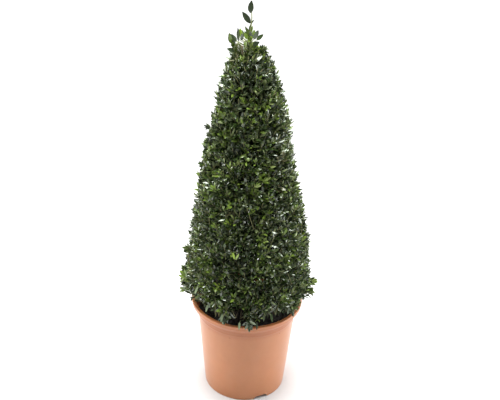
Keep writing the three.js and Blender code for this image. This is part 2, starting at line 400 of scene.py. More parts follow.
@dataclass(frozen=True)
class PlasticFinish:
    """Satin moulded plastic, faintly mottled, with painted shade under the lip: a darker, redder band where the lip and
    the foliage shade the wall.
    """

    dark: tuple[float, float, float] = (0.452, 0.178, 0.072)
    light: tuple[float, float, float] = (0.478, 0.191, 0.080)
    painted_shade_tint: tuple[float, float, float] = (0.84, 0.73, 0.67)
    painted_shade_foot: float = 0.164
    painted_shade_top: float = 0.208
    roughness: float = 0.28
    glow: float = 0.25

    def material(self) -> bpy.types.Material:
        """Builds the material."""
        sheet = NodeSheet("terracotta_plastic")
        place = sheet.place()
        mottle = sheet.ramp(sheet.noise(place, 38.0, 4.0), [(0.3, self.dark), (0.7, self.light)])
        plain = (1.0, 1.0, 1.0)
        # Painted shade: the wall colour is multiplied darker and redder in a band under the lip, standing in for the
        # shadow of the lip and the foliage.
        band = sheet.ramp(
            sheet.level(self.painted_shade_foot, self.painted_shade_top),
            [(0.0, plain), (0.35, self.painted_shade_tint), (0.72, self.painted_shade_tint), (0.95, plain)],
        )
        sheet.join(sheet.tint(mottle, band), sheet.shader.inputs["Base Color"])
        sheet.set(Roughness=self.roughness, Specular_IOR_Level=0.5)
        sheet.set(Subsurface_Weight=self.glow, Subsurface_Radius=(1.0, 0.35, 0.15), Subsurface_Scale=0.006)
        return sheet.material


@dataclass(frozen=True)
class CompostFinish:
    """Dark moist compost, speckled with lighter fibres."""

    wet: tuple[float, float, float] = (0.010, 0.007, 0.005)
    crumb: tuple[float, float, float] = (0.030, 0.021, 0.014)
    fibre: tuple[float, float, float] = (0.085, 0.060, 0.038)

    def material(self) -> bpy.types.Material:
        """Builds the material."""
        sheet = NodeSheet("moist_compost")
        place = sheet.place()
        grain = sheet.noise(place, 420.0, 6.0)
        stops = [(0.35, self.wet), (0.62, self.crumb), (0.78, self.fibre)]
        sheet.join(sheet.ramp(grain, stops), sheet.shader.inputs["Base Color"])
        sheet.join(sheet.span(grain, 0.95, 0.65), sheet.shader.inputs["Roughness"])
        sheet.bump(sheet.noise(place, 900.0, 4.0), 0.001, 0.6)
        return sheet.material


@dataclass(frozen=True)
class BarkFinish:
    """Corky pale bark with darker cracks along the limb."""

    crack: tuple[float, float, float] = (0.060, 0.045, 0.026)
    plate: tuple[float, float, float] = (0.230, 0.180, 0.105)
    name: str = "corky_bark"

    def material(self) -> bpy.types.Material:
        """Builds the material."""
        sheet = NodeSheet(self.name)
        long_place = sheet.place((1.0, 1.0, 0.25))
        plates = sheet.noise(long_place, 520.0, 5.0)
        sheet.join(sheet.ramp(plates, [(0.38, self.crack), (0.6, self.plate)]), sheet.shader.inputs["Base Color"])
        sheet.join(sheet.span(plates, 0.95, 0.75), sheet.shader.inputs["Roughness"])
        sheet.bump(plates, 0.0012, 0.7)
        return sheet.material


@dataclass(frozen=True)
class PlainFinish:
    """One plain colour and gloss, for the many small things whose colours are dealt out by spray."""

    name: str
    colour: tuple[float, float, float]
    roughness: float
    gloss: float = 0.5
    gloss_tint: tuple[float, float, float] = (1.0, 1.0, 1.0)
    coat: float = 0.0

    def material(self) -> bpy.types.Material:
        """Builds the material."""
        sheet = NodeSheet(self.name)
        sheet.set(Base_Color=(*self.colour, 1.0), Roughness=self.roughness)
        sheet.set(Specular_IOR_Level=self.gloss, Specular_Tint=(*self.gloss_tint, 1.0))
        sheet.set(Coat_Weight=self.coat, Coat_Roughness=0.13)
        return sheet.material


class LeafTone(Enum):
    """Leaf colours: the top side's, the underside's, and the top's roughness."""

    DEEP = ((0.015, 0.022, 0.010), (0.085, 0.112, 0.054), 0.24)
    DARK = ((0.019, 0.032, 0.010), (0.125, 0.158, 0.072), 0.22)
    MID = ((0.033, 0.060, 0.013), (0.165, 0.205, 0.088), 0.23)
    OLIVE = ((0.084, 0.125, 0.023), (0.205, 0.250, 0.098), 0.26)
    FRESH = ((0.165, 0.250, 0.036), (0.250, 0.320, 0.092), 0.30)
    LIME = ((0.255, 0.385, 0.024), (0.290, 0.400, 0.050), 0.42)
    # This whitish-green tone is a painted highlight: it stands in for glints of light on glossy leaves.
    PAINTED_GLINT = ((0.190, 0.240, 0.130), (0.220, 0.270, 0.150), 0.30)
    DRY = ((0.100, 0.092, 0.034), (0.115, 0.105, 0.045), 0.60)

    @property
    def number(self) -> int:
        """Place of the tone in the list."""
        return list(LeafTone).index(self)

    def materials(self) -> list[bpy.types.Material]:
        """Builds the top side's and the underside's material."""
        top, under, roughness = self.value
        name = self.name.lower()
        return [
            PlainFinish(f"leaf_{name}_top", top, roughness, 0.9, (0.88, 1.0, 0.80), 0.60).material(),
            PlainFinish(f"leaf_{name}_under", under, 0.50, 0.4).material(),
        ]


# ---------------------------------------------------------------- pot


@dataclass
class Pot:
    """Round tapered plastic pot with a rolled lip, a faint bead, moulded dimples and notches in its foot ring."""

    height: float = field(default_factory=lambda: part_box("pot")[1].z)
    rim_radius: float = field(default_factory=lambda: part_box("pot")[1].x)
    foot_share: float = 84.5 / 115
    wall_top_share: float = 102.5 / 115
    lip_share: float = 107.5 / 115
    wall: float = 0.0026
    band_height: float = 0.009
    cove_height: float = 0.022
    floor_lift: float = 0.008
    hub_radius: float = 0.020
    edge: float = 0.0016
    bead_height: float = 0.176
    bead_rise: float = 0.0005
    dimple_height: float = 0.169
    dimple_radius: float = 0.0016
    dimple_depth: float = 0.0018
    dimple_count: int = 12
    dimple_azimuth: float = 12.0
    notch_count: int = 3
    notch_azimuth: float = 24.0
    notch_width: float = 0.033
    notch_rise: float = 0.0075
    drain_count: int = 6
    drain_radius: float = 0.005
    drain_ring: float = 0.055
    columns: int = 168

    def wall_radius(self, height: np.ndarray | float) -> np.ndarray | float:
        """Outer radius of the straight wall: it grows evenly from the foot to the cove under the lip."""
        share = height / (self.height - self.cove_height)
        return self.rim_radius * (self.foot_share + (self.wall_top_share - self.foot_share) * share)

    def bowed(self, start: tuple, middle: tuple, end: tuple, count: int) -> np.ndarray:
        """A round stretch of the profile: a quadratic Bezier from start by middle to end, without its end."""
        corners = [np.array([[*point, 0.0]]) for point in (start, middle, end)]
        return curved_paths(*corners, count + 1)[0, :-1, :2]

    def straight(self, start: tuple, end: tuple, count: int) -> np.ndarray:
        """A straight stretch of the profile from start to end, without its end."""
        return np.linspace(start, end, count, endpoint=False)

    def profile(self) -> np.ndarray:
        """Outline of the pot's section as (radius, height), from the hub round the outside to the inner floor."""
        rim, top, edge, wall = self.rim_radius, self.height, self.edge, self.wall
        lip = rim * self.lip_share
        cove = top - self.cove_height
        band = top - self.band_height
        inner_band = rim - wall
        neck = 0.5 * (self.wall_radius(cove) + lip) + wall
        foot, cove_radius = self.wall_radius(0.0), self.wall_radius(cove)
        floor_top = self.floor_lift + wall
        floor_radius = self.wall_radius(floor_top) - wall
        fine = self.dimple_height + self.dimple_radius * np.linspace(-1.4, 1.4, 9)
        low, high = fine[0] - 0.002, fine[-1] + 0.002
        at = lambda z: (self.wall_radius(z), z)
        return np.concatenate([
            self.straight((self.hub_radius * 0.5, 0.0), (self.hub_radius - edge, 0.0), 2),
            self.bowed((self.hub_radius - edge, 0.0), (self.hub_radius, 0.0), (self.hub_radius, edge), 4),
            self.straight((self.hub_radius, edge), (self.hub_radius, self.floor_lift), 2),
            self.straight((self.hub_radius, self.floor_lift), (foot - wall, self.floor_lift), 10),
            self.straight((foot - wall, self.floor_lift), (foot - wall, 0.0005), 4),
            self.bowed((foot - wall, 0.0005), (foot - wall, 0.0), (foot - wall + 0.0005, 0.0), 2),
            self.straight((foot - wall + 0.0005, 0.0), (foot - 0.0008, 0.0), 2),
            self.bowed((foot - 0.0008, 0.0), (foot, 0.0), at(0.0008), 4),
            self.straight(at(0.0008), at(0.012), 8),
            self.straight(at(0.012), at(low), 16),
            self.straight(at(low), at(fine[0]), 2),
            np.stack([self.wall_radius(fine), fine], axis=1),
            self.straight(at(high), at(cove), 14),
            self.bowed((cove_radius, cove), (neck - 0.002, band - 0.006), (neck + 0.001, band - edge), 8),
            self.bowed((neck + 0.001, band - edge), (lip + wall, band + edge), (lip + wall, top - wall), 5),
            self.straight((lip + wall, top - wall), (inner_band, top - wall), 3),
            self.straight((inner_band, top - wall), (inner_band, band + 0.0005), 4),
            self.bowed((inner_band, band + 0.0005), (inner_band, band), (inner_band + 0.0008, band), 3),
            self.bowed((inner_band + 0.0008, band), (rim - 0.0002, band), (rim - 0.0002, band + 0.0012), 4),
            self.straight((rim - 0.0002, band + 0.0012), (rim, top - edge), 4),
            self.bowed((rim, top - edge), (rim, top), (rim - edge, top), 6),
            self.straight((rim - edge, top), (lip + edge, top), 4),
            self.bowed((lip + edge, top), (lip, top), (lip - 0.0002, top - edge), 6),
            self.bowed((lip - 0.0002, top - edge), (neck - wall, band), (cove_radius - wall, cove), 12),
            self.straight((cove_radius - wall, cove), (floor_radius, floor_top), 20),
            self.straight((floor_radius, floor_top), (self.hub_radius * 0.5, floor_top), 10),
            [[self.hub_radius * 0.5, floor_top]],
        ])

    def angles(self) -> np.ndarray:
        """Column angles from the front: even ones, with finer ones over each dimple."""
        even = np.linspace(0.0, 360.0, self.columns, endpoint=False)
        width = math.degrees(self.dimple_radius / self.wall_radius(self.dimple_height))
        fine = width * np.linspace(-1.4, 1.4, 9)
        centres = self.dimple_centres()
        near = np.abs((even[:, None] - centres[None] + 180.0) % 360.0 - 180.0).min(axis=1)
        close = ((centres[:, None] + fine[None]) % 360.0).ravel()
        return np.sort(np.concatenate([even[near > 1.7 * width], close]))

    def dimple_centres(self) -> np.ndarray:
        """Angles of the dimples from the front, evenly spaced."""
        return (self.dimple_azimuth + 360.0 * np.arange(self.dimple_count) / self.dimple_count) % 360.0

    def notch_rise_at(self, angle: np.ndarray) -> np.ndarray:
        """How far the foot ring's lower edge is lifted: a flat-topped notch with one steep and one slanted side."""
        span = 360.0 / self.notch_count
        offset = (angle - self.notch_azimuth + span / 2) % span - span / 2
        along = np.radians(offset) * self.wall_radius(0.0)
        half = self.notch_width / 2
        left = smooth(along, -half, -half + 0.009)
        right = smooth(along, half - 0.002, half)
        return self.notch_rise * left * (1.0 - right)

    def surface(self) -> np.ndarray:
        """Vertices of the pot: the profile turned about Z, with notches, dimples and a bead worked in.

        A point of the profile keeps its radius and height. The lowest stretch of the foot ring is squeezed up to
        the notch's edge. On the outer wall a dimple takes a cosine hollow out of the radius, and the bead adds a
        narrow bell to it.
        """
        outline = self.profile()
        angle = np.radians(self.angles())
        radius = np.repeat(outline[:, :1], len(angle), axis=1)
        height = np.repeat(outline[:, 1:], len(angle), axis=1)
        rise = self.notch_rise_at(self.angles())[None]
        in_ring = (radius > self.wall_radius(0.0) - 1.2 * self.wall) & (height < self.floor_lift + 1e-6)
        height = np.where(in_ring, rise + height * (1.0 - rise / self.floor_lift), height)
        outer = np.abs(radius - self.wall_radius(height)) < 1e-5
        turn = (self.angles()[:, None] - self.dimple_centres()[None] + 180.0) % 360.0 - 180.0
        beside = np.radians(np.abs(turn).min(axis=1))[None] * radius
        away = np.hypot(beside, height - self.dimple_height) / self.dimple_radius
        hollow = self.dimple_depth * 0.5 * (1.0 + np.cos(np.pi * np.clip(away, 0.0, 1.0)))
        bead = self.bead_rise * np.exp(-(((height - self.bead_height) / 0.0012) ** 2))
        radius = radius + outer * (bead - hollow)
        return np.stack([radius * np.sin(angle), -radius * np.cos(angle), height], axis=-1)

    def build(self) -> bpy.types.Object:
        """Builds the pot, closes its hub and floor, and cuts its drain holes."""
        grid = self.surface()
        rows, columns, _ = grid.shape
        vertices = grid.reshape(-1, 3)
        floor_top = self.floor_lift + self.wall
        vertices = np.concatenate([vertices, [[0.0, 0.0, 0.0], [0.0, 0.0, floor_top]]])
        quads = grid_quads(rows, columns, True)
        start = np.arange(columns)
        after = (start + 1) % columns
        low = np.stack([after, start, np.full(columns, rows * columns)], axis=1)
        last = (rows - 1) * columns
        high = np.stack([last + start, last + after, np.full(columns, rows * columns + 1)], axis=1)
        faces = Faces(quads=quads, triangles=np.concatenate([low, high]))
        piece = new_piece("pot_shell", vertices, faces, [PlasticFinish().material()], ("pot",))
        self.cut_drains(piece)
        return piece

    def cut_drains(self, piece: bpy.types.Object) -> None:
        """Cuts the round drain holes through the floor with one cutter of joined upright tubes.

        Args:
            piece: the pot's mesh.
        """
        angle = 2.0 * np.pi * np.arange(self.drain_count) / self.drain_count
        ends = []
        for height in (self.floor_lift - 0.004, self.floor_lift + self.wall + 0.004):
            across = self.drain_ring * np.stack([np.sin(angle), -np.cos(angle)], axis=1)
            ends.append(np.concatenate([across, np.full((self.drain_count, 1), height)], axis=1))
        paths = np.stack(ends, axis=1)
        vertices, faces = Tubes(paths, np.full((self.drain_count, 2), self.drain_radius), 24).build()
        mesh = bpy.data.meshes.new("drain_cutter")
        mesh.from_pydata(vertices, [], [*faces.quads.tolist(), *faces.triangles.tolist()])
        cutter = bpy.data.objects.new("drain_cutter", mesh)
        bpy.context.scene.collection.objects.link(cutter)
        modifier = piece.modifiers.new("drains", "BOOLEAN")
        modifier.operation = "DIFFERENCE"
        modifier.object = cutter
        evaluated = piece.evaluated_get(bpy.context.evaluated_depsgraph_get())
        result = bpy.data.meshes.new_from_object(evaluated)
        piece.modifiers.clear()
        piece.data = result
        bpy.data.objects.remove(cutter)


@dataclass
class Compost:
    """The plug of compost, with a crumbly top and loose crumbs and bark chips on it."""

    pot: Pot
    top: float = field(default_factory=lambda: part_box("growing_medium")[1].z)
    bottom: float = field(default_factory=lambda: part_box("growing_medium")[0].z)
    gap: float = 0.0004
    edge_drop: float = 0.004
    relief: float = 0.0028
    rings: int = 56
    columns: int = 160
    crumbs: int = 1500
    seed: int = 11

    def top_height(self, across: np.ndarray) -> np.ndarray:
        """Height of the top at places (x, y): a slight fall to the wall plus three sizes of noise."""
        radius = np.hypot(across[:, 0], across[:, 1])
        places = np.concatenate([across, np.zeros((len(across), 1))], axis=1)
        rough = 0.55 * value_noise(places, 0.016, self.seed) + 0.3 * value_noise(places, 0.006, self.seed + 1)
        rough += 0.25 * value_noise(places, 0.0028, self.seed + 2)
        limit = self.pot.wall_radius(self.top) - self.pot.wall
        return self.top - self.edge_drop * (radius / limit) ** 3 + self.relief * (rough - 0.6)

    def build(self) -> list[bpy.types.Object]:
        """Builds the plug as rings from the middle of its top over the edge to the middle of its bottom."""
        limit = self.pot.wall_radius(self.top - self.edge_drop) - self.pot.wall - self.gap
        foot = self.pot.wall_radius(self.bottom) - self.pot.wall - self.gap
        turn = 2.0 * np.pi * np.arange(self.columns) / self.columns
        reach = limit * (np.arange(1, self.rings + 1) / self.rings)
        top_ring = reach[:, None, None] * np.stack([np.cos(turn), np.sin(turn)], axis=1)[None]
        heights = self.top_height(top_ring.reshape(-1, 2)).reshape(self.rings, self.columns, 1)
        lower = foot * np.stack([np.cos(turn), np.sin(turn)], axis=1)
        lower = np.concatenate([lower, np.full((self.columns, 1), self.bottom)], axis=1)
        upper = np.concatenate([top_ring, heights], axis=2)[::-1]
        grid = np.concatenate([upper, lower[None]], axis=0)
        order = np.concatenate([[self.rings], np.arange(self.rings)])
        grid = grid[order]
        poles = np.array([[0.0, 0.0, self.bottom], [0.0, 0.0, self.top - self.relief]])
        vertices = np.concatenate([grid.reshape(-1, 3), poles])
        rows = self.rings + 1
        start = np.arange(self.columns)
        after = (start + 1) % self.columns
        last = (rows - 1) * self.columns
        low = np.stack([after, start, np.full(self.columns, rows * self.columns)], axis=1)
        high = np.stack([last + start, last + after, np.full(self.columns, rows * self.columns + 1)], axis=1)
        faces = Faces(quads=grid_quads(rows, self.columns, True), triangles=np.concatenate([low, high]))
        material = CompostFinish().material()
        plug = new_piece("compost_plug", vertices, faces, [material], ("growing_medium",))
        return [plug, self.scatter(limit, material)]

    def scatter(self, limit: float, material: bpy.types.Material) -> bpy.types.Object:
        """Loose crumbs: squashed eight-sided lumps of uneven size, turned at random and half sunk.

        Args:
            limit: radius that the crumbs stay inside.
            material: their finish.

        Returns:
            All the crumbs as one piece.
        """
        rng = np.random.default_rng(self.seed)
        radius = (limit - 0.004) * np.sqrt(rng.uniform(0.0, 1.0, self.crumbs))
        turn = rng.uniform(0.0, 2.0 * np.pi, self.crumbs)
        across = np.stack([radius * np.cos(turn), radius * np.sin(turn)], axis=1)
        size = rng.uniform(0.0006, 0.0022, (self.crumbs, 1, 1)) * rng.uniform(0.5, 1.5, (self.crumbs, 1, 3))
        points = np.array([[1, 0, 0], [0, 1, 0], [-1, 0, 0], [0, -1, 0], [0, 0, 1], [0, 0, -1]], float)
        lump = points[None] * size * rng.uniform(0.75, 1.25, (self.crumbs, 6, 1))
        spin = rng.uniform(0.0, 2.0 * np.pi, (self.crumbs, 1))
        tilted = lump + 0.5 * np.roll(lump, 1, axis=2)
        x = tilted[..., 0] * np.cos(spin) - tilted[..., 1] * np.sin(spin)
        y = tilted[..., 0] * np.sin(spin) + tilted[..., 1] * np.cos(spin)
        centre = np.concatenate([across, (self.top_height(across) + 0.0004)[:, None]], axis=1)
        vertices = np.stack([x, y, tilted[..., 2]], axis=-1) + centre[:, None]
        ring = np.arange(4)
        beside = (ring + 1) % 4
        shape = np.concatenate([
            np.stack([ring, beside, np.full(4, 4)], axis=1), np.stack([beside, ring, np.full(4, 5)], axis=1)
        ])
        triangles = (6 * np.arange(self.crumbs)[:, None, None] + shape[None]).reshape(-1, 3)
        faces = Faces(triangles=triangles)
        return new_piece("compost_crumbs", vertices.reshape(-1, 3), faces, [material])


# ---------------------------------------------------------------- leaves


@dataclass
class LeafShape:
    """One box leaf: an oval blade on a midrib, closed, with separate faces for its top and its underside.

    Across the blade there are a left rim, a midrib and a right rim at each station between base and tip. The
    half width at share t of the length is sin(pi t^skew)^fullness of half the leaf's width.
    """

    stations: tuple[float, ...] = (0.17, 0.47, 0.80)
    skew: float = 0.86
    fullness: float = 0.85
    thickness: float = 0.00045

    @property
    def vertex_count(self) -> int:
        """Number of vertices: two ends, and two rims, a top midrib and a bottom midrib at each station."""
        return 2 + 4 * len(self.stations)

    def layout(self) -> tuple[np.ndarray, np.ndarray, np.ndarray]:
        """Share of the length, signed share of the half width, and signed share of the thickness of each vertex."""
        t = np.array(self.stations)
        full = np.sin(np.pi * t**self.skew) ** self.fullness
        nought = np.zeros_like(t)
        length = np.concatenate([[0.0], t, t, t, t, [1.0]])
        width = np.concatenate([[0.0], full, -full, nought, nought, [0.0]])
        thick = np.concatenate([[0.0], nought, nought, 0.5 + nought, -0.5 + nought, [0.0]])
        return length, width, thick

    def faces(self) -> tuple[np.ndarray, np.ndarray]:
        """Quads and triangles of one leaf, the top side's first in each."""
        n = len(self.stations)
        left, right, top, bottom = (1 + n * k + np.arange(n) for k in range(4))
        tip = self.vertex_count - 1
        quads, triangles = [], []
        for middle, flip in ((top, False), (bottom, True)):
            sides = [
                np.stack([middle[:-1], middle[1:], left[1:], left[:-1]], axis=1),
                np.stack([right[:-1], right[1:], middle[1:], middle[:-1]], axis=1),
            ]
            ends = np.array([
                [0, middle[0], left[0]], [0, right[0], middle[0]],
                [middle[-1], tip, left[-1]], [right[-1], tip, middle[-1]],
            ])
            quad = np.concatenate(sides)
            quads.append(quad[:, ::-1] if flip else quad)
            triangles.append(ends[:, ::-1] if flip else ends)
        return np.concatenate(quads), np.concatenate(triangles)

    def rim_pairs(self) -> set[tuple[int, int]]:
        """Neighbouring vertices along the rim, each pair with its lower number first."""
        n = len(self.stations)
        tip = self.vertex_count - 1
        pairs = set()
        for side in (1, 1 + n):
            chain = [0, *range(side, side + n), tip]
            pairs |= {(min(a, b), max(a, b)) for a, b in zip(chain, chain[1:])}
        return pairs


@dataclass
class LeafBatch:
    """Many leaves as arrays, one row a leaf."""

    origin: np.ndarray
    along: np.ndarray
    facing: np.ndarray
    length: np.ndarray
    width: np.ndarray
    fold: np.ndarray
    curl: np.ndarray
    twist: np.ndarray
    tone: np.ndarray

    @staticmethod
    def joined(batches: list["LeafBatch"]) -> "LeafBatch":
        """All the leaves of several batches in one."""
        names = LeafBatch.__dataclass_fields__
        return LeafBatch(**{name: np.concatenate([getattr(b, name) for b in batches]) for name in names})

    def chosen(self, rows: np.ndarray) -> "LeafBatch":
        """The leaves at some rows, by number or by truth value."""
        return LeafBatch(**{name: getattr(self, name)[rows] for name in self.__dataclass_fields__})

    def tips(self) -> np.ndarray:
        """Place of each leaf's tip, its curl left out."""
        return self.origin + self.along * self.length[:, None]

    def vertices(self, shape: LeafShape) -> np.ndarray:
        """Places of all the leaves' vertices, of shape (leaves, vertices, 3).

        In a leaf's own frame x runs along it, y across it and z out of its top. The rims rise by fold times their
        distance from the midrib, the blade bends down by curl times the square of its share of the length, and it
        turns about its midrib by twist times that share.
        """
        t, across, thick = (part[None] for part in shape.layout())
        x = self.length[:, None] * t
        y = 0.5 * self.width[:, None] * across
        z = self.fold[:, None] * np.abs(y) + shape.thickness * thick
        turn = self.twist[:, None] * t
        y, z = y * np.cos(turn) - z * np.sin(turn), y * np.sin(turn) + z * np.cos(turn)
        z = z - self.curl[:, None] * self.length[:, None] * t**2
        x = x * (1.0 - 0.4 * self.curl[:, None] ** 2 * t**2)
        heading = unit(self.along)
        normal = unit(self.facing - np.sum(self.facing * heading, axis=1, keepdims=True) * heading)
        side = np.cross(normal, heading)
        place = x[..., None] * heading[:, None] + y[..., None] * side[:, None] + z[..., None] * normal[:, None]
        return self.origin[:, None] + place


@dataclass
class LeafBuilder:
    """Turns batches of leaves into pieces that stay under the limit on triangles."""

    shape: LeafShape = field(default_factory=LeafShape)
    leaves_a_piece: int = 6000
    finishes: list[bpy.types.Material] = field(default_factory=list)

    def __post_init__(self) -> None:
        """Makes one top and one underside material for every tone, unless it was given them."""
        if not self.finishes:
            self.finishes = [material for tone in LeafTone for material in tone.materials()]

    def build(self, name: str, leaves: LeafBatch, slot: Slot, nodes: tuple[str, ...]) -> list[bpy.types.Object]:
        """Makes the leaves, cut by height into equal pieces.

        Args:
            name: start of the pieces' names.
            leaves: the leaves.
            slot: not used.
            nodes: CAD nodes that the pieces stand for.

        Returns:
            The pieces.
        """
        order = np.argsort(leaves.origin[:, 2], kind="stable")
        count = max(1, math.ceil(len(order) / self.leaves_a_piece))
        pieces = []
        for number, rows in enumerate(np.array_split(order, count), start=1):
            label = f"{name}_{number}" if count > 1 else name
            pieces.append(self.piece(label, leaves.chosen(rows), slot, nodes))
        return pieces

    def piece(self, name: str, leaves: LeafBatch, slot: Slot, nodes: tuple[str, ...]) -> bpy.types.Object:
        """Makes one piece of leaves whose rims are marked sharp, so that top and underside shade apart."""
        places = leaves.vertices(self.shape)
        count, each, _ = places.shape
        quads, triangles = self.shape.faces()
        first = (np.arange(count) * each)[:, None, None]
        side_of_quad = np.repeat([0, 1], len(quads) // 2)
        side_of_triangle = np.repeat([0, 1], len(triangles) // 2)
        faces = Faces(
            quads=(first + quads[None]).reshape(-1, 4),
            triangles=(first + triangles[None]).reshape(-1, 3),
            quad_material=(2 * leaves.tone[:, None] + side_of_quad[None]).ravel(),
            triangle_material=(2 * leaves.tone[:, None] + side_of_triangle[None]).ravel(),
        )
        made = new_piece(name, places.reshape(-1, 3), faces, self.finishes, nodes)
        ends = np.sort(edge_ends(made) % each, axis=1)
        codes = ends[:, 0] * each + ends[:, 1]
        mark_sharp(made, np.isin(codes, [a * each + b for a, b in self.shape.rim_pairs()]))
        return made


@dataclass
class SprayRule:
    """How one leafy shoot grows: opposite pairs of leaves, each pair a quarter turn from the one before.

    The lists go from the shoot's tip down: distance from the tip, leaf length and the leaf's angle from the shoot.
    """

    below_tip: tuple[float, ...] = (0.0010, 0.0036, 0.0072, 0.0116, 0.0166, 0.0220, 0.0278)
    leaf_length: tuple[float, ...] = (0.0070, 0.0100, 0.0126, 0.0140, 0.0146, 0.0142, 0.0134)
    leaf_angle: tuple[float, ...] = (16.0, 27.0, 37.0, 45.0, 51.0, 56.0, 60.0)
    slimness: float = 0.37
    petiole: float = 0.0012
    sky_pull: float = 0.25
    turned_over: float = 0.13


@dataclass
class Sprays:
    """Many leafy shoots as arrays, one row a shoot."""

    base: np.ndarray
    heading: np.ndarray
    length: np.ndarray
    rise: np.ndarray
    outward: np.ndarray
    limit: np.ndarray
    scale: np.ndarray
    tone: np.ndarray
    tip_tone: np.ndarray
    clipped: np.ndarray

    def point(self, share: np.ndarray) -> np.ndarray:
        """Places on the shoots: base + s length heading + s^2 rise up, for shares s of shape (shoots, k)."""
        run = share[..., None] * (self.length[:, None] * self.heading)[:, None]
        return self.base[:, None] + run + (share**2 * self.rise[:, None])[..., None] * UP

    def direction(self, share: np.ndarray) -> np.ndarray:
        """Directions of the shoots at the same shares: the slope of point."""
        run = (self.length[:, None] * self.heading)[:, None]
        return unit(run + (2.0 * share * self.rise[:, None])[..., None] * UP)

    def ends(self) -> np.ndarray:
        """Places of the shoots' tips."""
        return self.point(np.ones((len(self.base), 1)))[:, 0]

    def stems(self, points: int) -> np.ndarray:
        """Paths of the shoots' stems, of shape (shoots, points, 3)."""
        return self.point(np.tile(np.linspace(0.0, 1.0, points), (len(self.base), 1)))

    def leaves(self, rule: SprayRule, rng: np.random.Generator) -> LeafBatch:
        """Grows the leaves of every shoot.

        Args:
            rule: the growth rule.
            rng: seeded source of the small differences.

        Returns:
            The leaves that the shoots carry, without those that clipping took off.
        """
        count, pairs = len(self.base), len(rule.below_tip)
        below = np.array(rule.below_tip)[None] * self.scale[:, None]
        share = 1.0 - below / self.length[:, None]
        kept = share > 0.06
        kept &= ~(self.clipped[:, None] & (np.arange(pairs)[None] < 2))
        place = self.point(share)
        heading = self.direction(share)
        helper = unit(rng.normal(size=(count, 1, 3)))
        first = unit(np.cross(heading, helper))
        second = np.cross(heading, first)
        turn = 0.5 * np.pi * np.arange(pairs)[None] + rng.normal(0.0, 0.30, (count, pairs))
        angle = np.radians(np.array(rule.leaf_angle))[None]
        parts = []
        for side in (1.0, -1.0):
            away = side * (np.cos(turn)[..., None] * first + np.sin(turn)[..., None] * second)
            lean = angle + np.radians(rng.normal(0.0, 12.0, (count, pairs)))
            along = unit(np.cos(lean)[..., None] * heading + np.sin(lean)[..., None] * away)
            facing = np.sin(lean)[..., None] * heading - np.cos(lean)[..., None] * away
            facing = facing + rule.sky_pull * UP
            facing = facing + rng.normal(0.0, 0.34, (count, pairs, 3))
            facing = facing * np.where(rng.uniform(size=(count, pairs, 1)) < rule.turned_over, -1.0, 1.0)
            size = np.array(rule.leaf_length)[None] * self.scale[:, None] * rng.uniform(0.82, 1.18, (count, pairs))
            tone = np.where(np.arange(pairs)[None] < 3, self.tip_tone[:, None], self.tone[:, None])
            drift = rng.choice([-1, 0, 0, 0, 1], (count, pairs))
            tone = np.where(tone < LeafTone.FRESH.number, np.clip(tone + drift, 0, LeafTone.OLIVE.number), tone)
            shape = (count, pairs)
            batch = LeafBatch(
                origin=(place + away * 0.0005 + along * rule.petiole).reshape(-1, 3),
                along=along.reshape(-1, 3),
                facing=unit(facing).reshape(-1, 3),
                length=size.ravel(),
                width=(size * rule.slimness * rng.uniform(0.88, 1.15, shape)).ravel(),
                fold=np.clip(rng.normal(0.34, 0.26, shape), -0.3, 0.9).ravel(),
                curl=rng.normal(0.07, 0.08, shape).ravel(),
                twist=rng.normal(0.0, 0.14, shape).ravel(),
                tone=tone.ravel(),
            )
            past = batch.tips().reshape(count, pairs, 3) - self.limit[:, None]
            over = np.sum(past * self.outward[:, None], axis=2)
            room = rng.uniform(0.001, 0.008, shape)
            parts.append(batch.chosen((kept & (over < room)).ravel()))
        return LeafBatch.joined(parts)


# ---------------------------------------------------------------- crown


@dataclass
class CrownSites:
    """Evenly scattered places on the clipped surface of the CAD crown, with the surface's outward direction."""

    node: str = "crown_cone"
    pocket_radius: float = 0.024
    pocket_top: float = 0.735
    hidden_radius: float = 0.072
    candidates: int = 9

    def scatter(self, spacing: float, rng: np.random.Generator) -> tuple[np.ndarray, np.ndarray]:
        """Picks places no nearer to each other than spacing.

        Candidates fall on triangles in proportion to their area. They are then gone through in a random order,
        and each one kept strikes out the others within spacing.

        Args:
            spacing: least distance between two places.
            rng: seeded source of the candidates.

        Returns:
            Places and outward unit vectors, each of shape (n, 3).
        """
        corners = node_triangles(self.node)
        cross = np.cross(corners[:, 1] - corners[:, 0], corners[:, 2] - corners[:, 0])
        area = 0.5 * np.linalg.norm(cross, axis=1)
        middle = corners.mean(axis=1)
        radius = np.hypot(middle[:, 0], middle[:, 1])
        outward = unit(cross)
        pocket = (radius < self.pocket_radius) & (middle[:, 2] < self.pocket_top)
        hidden = (outward[:, 2] < -0.4) & (radius < self.hidden_radius)
        area = np.where(pocket | hidden, 0.0, area)
        count = int(self.candidates * area.sum() / spacing**2)
        chosen = rng.choice(len(area), count, p=area / area.sum())
        a, b = rng.uniform(size=(2, count, 1))
        root = np.sqrt(a)
        tri = corners[chosen]
        places = (1 - root) * tri[:, 0] + root * (1 - b) * tri[:, 1] + root * b * tri[:, 2]
        kept = self.thinned(places, spacing)
        return places[kept], outward[chosen][kept]

    def thinned(self, places: np.ndarray, spacing: float) -> np.ndarray:
        """Row numbers of the places left when each one kept strikes out its neighbours within spacing."""
        tree = KDTree(len(places))
        for number, place in enumerate(places):
            tree.insert(place, number)
        tree.balance()
        alive = np.ones(len(places), bool)
        kept = []
        for number, place in enumerate(places):
            if alive[number]:
                kept.append(number)
                alive[[found[1] for found in tree.find_range(place, spacing)]] = False
        return np.array(kept)


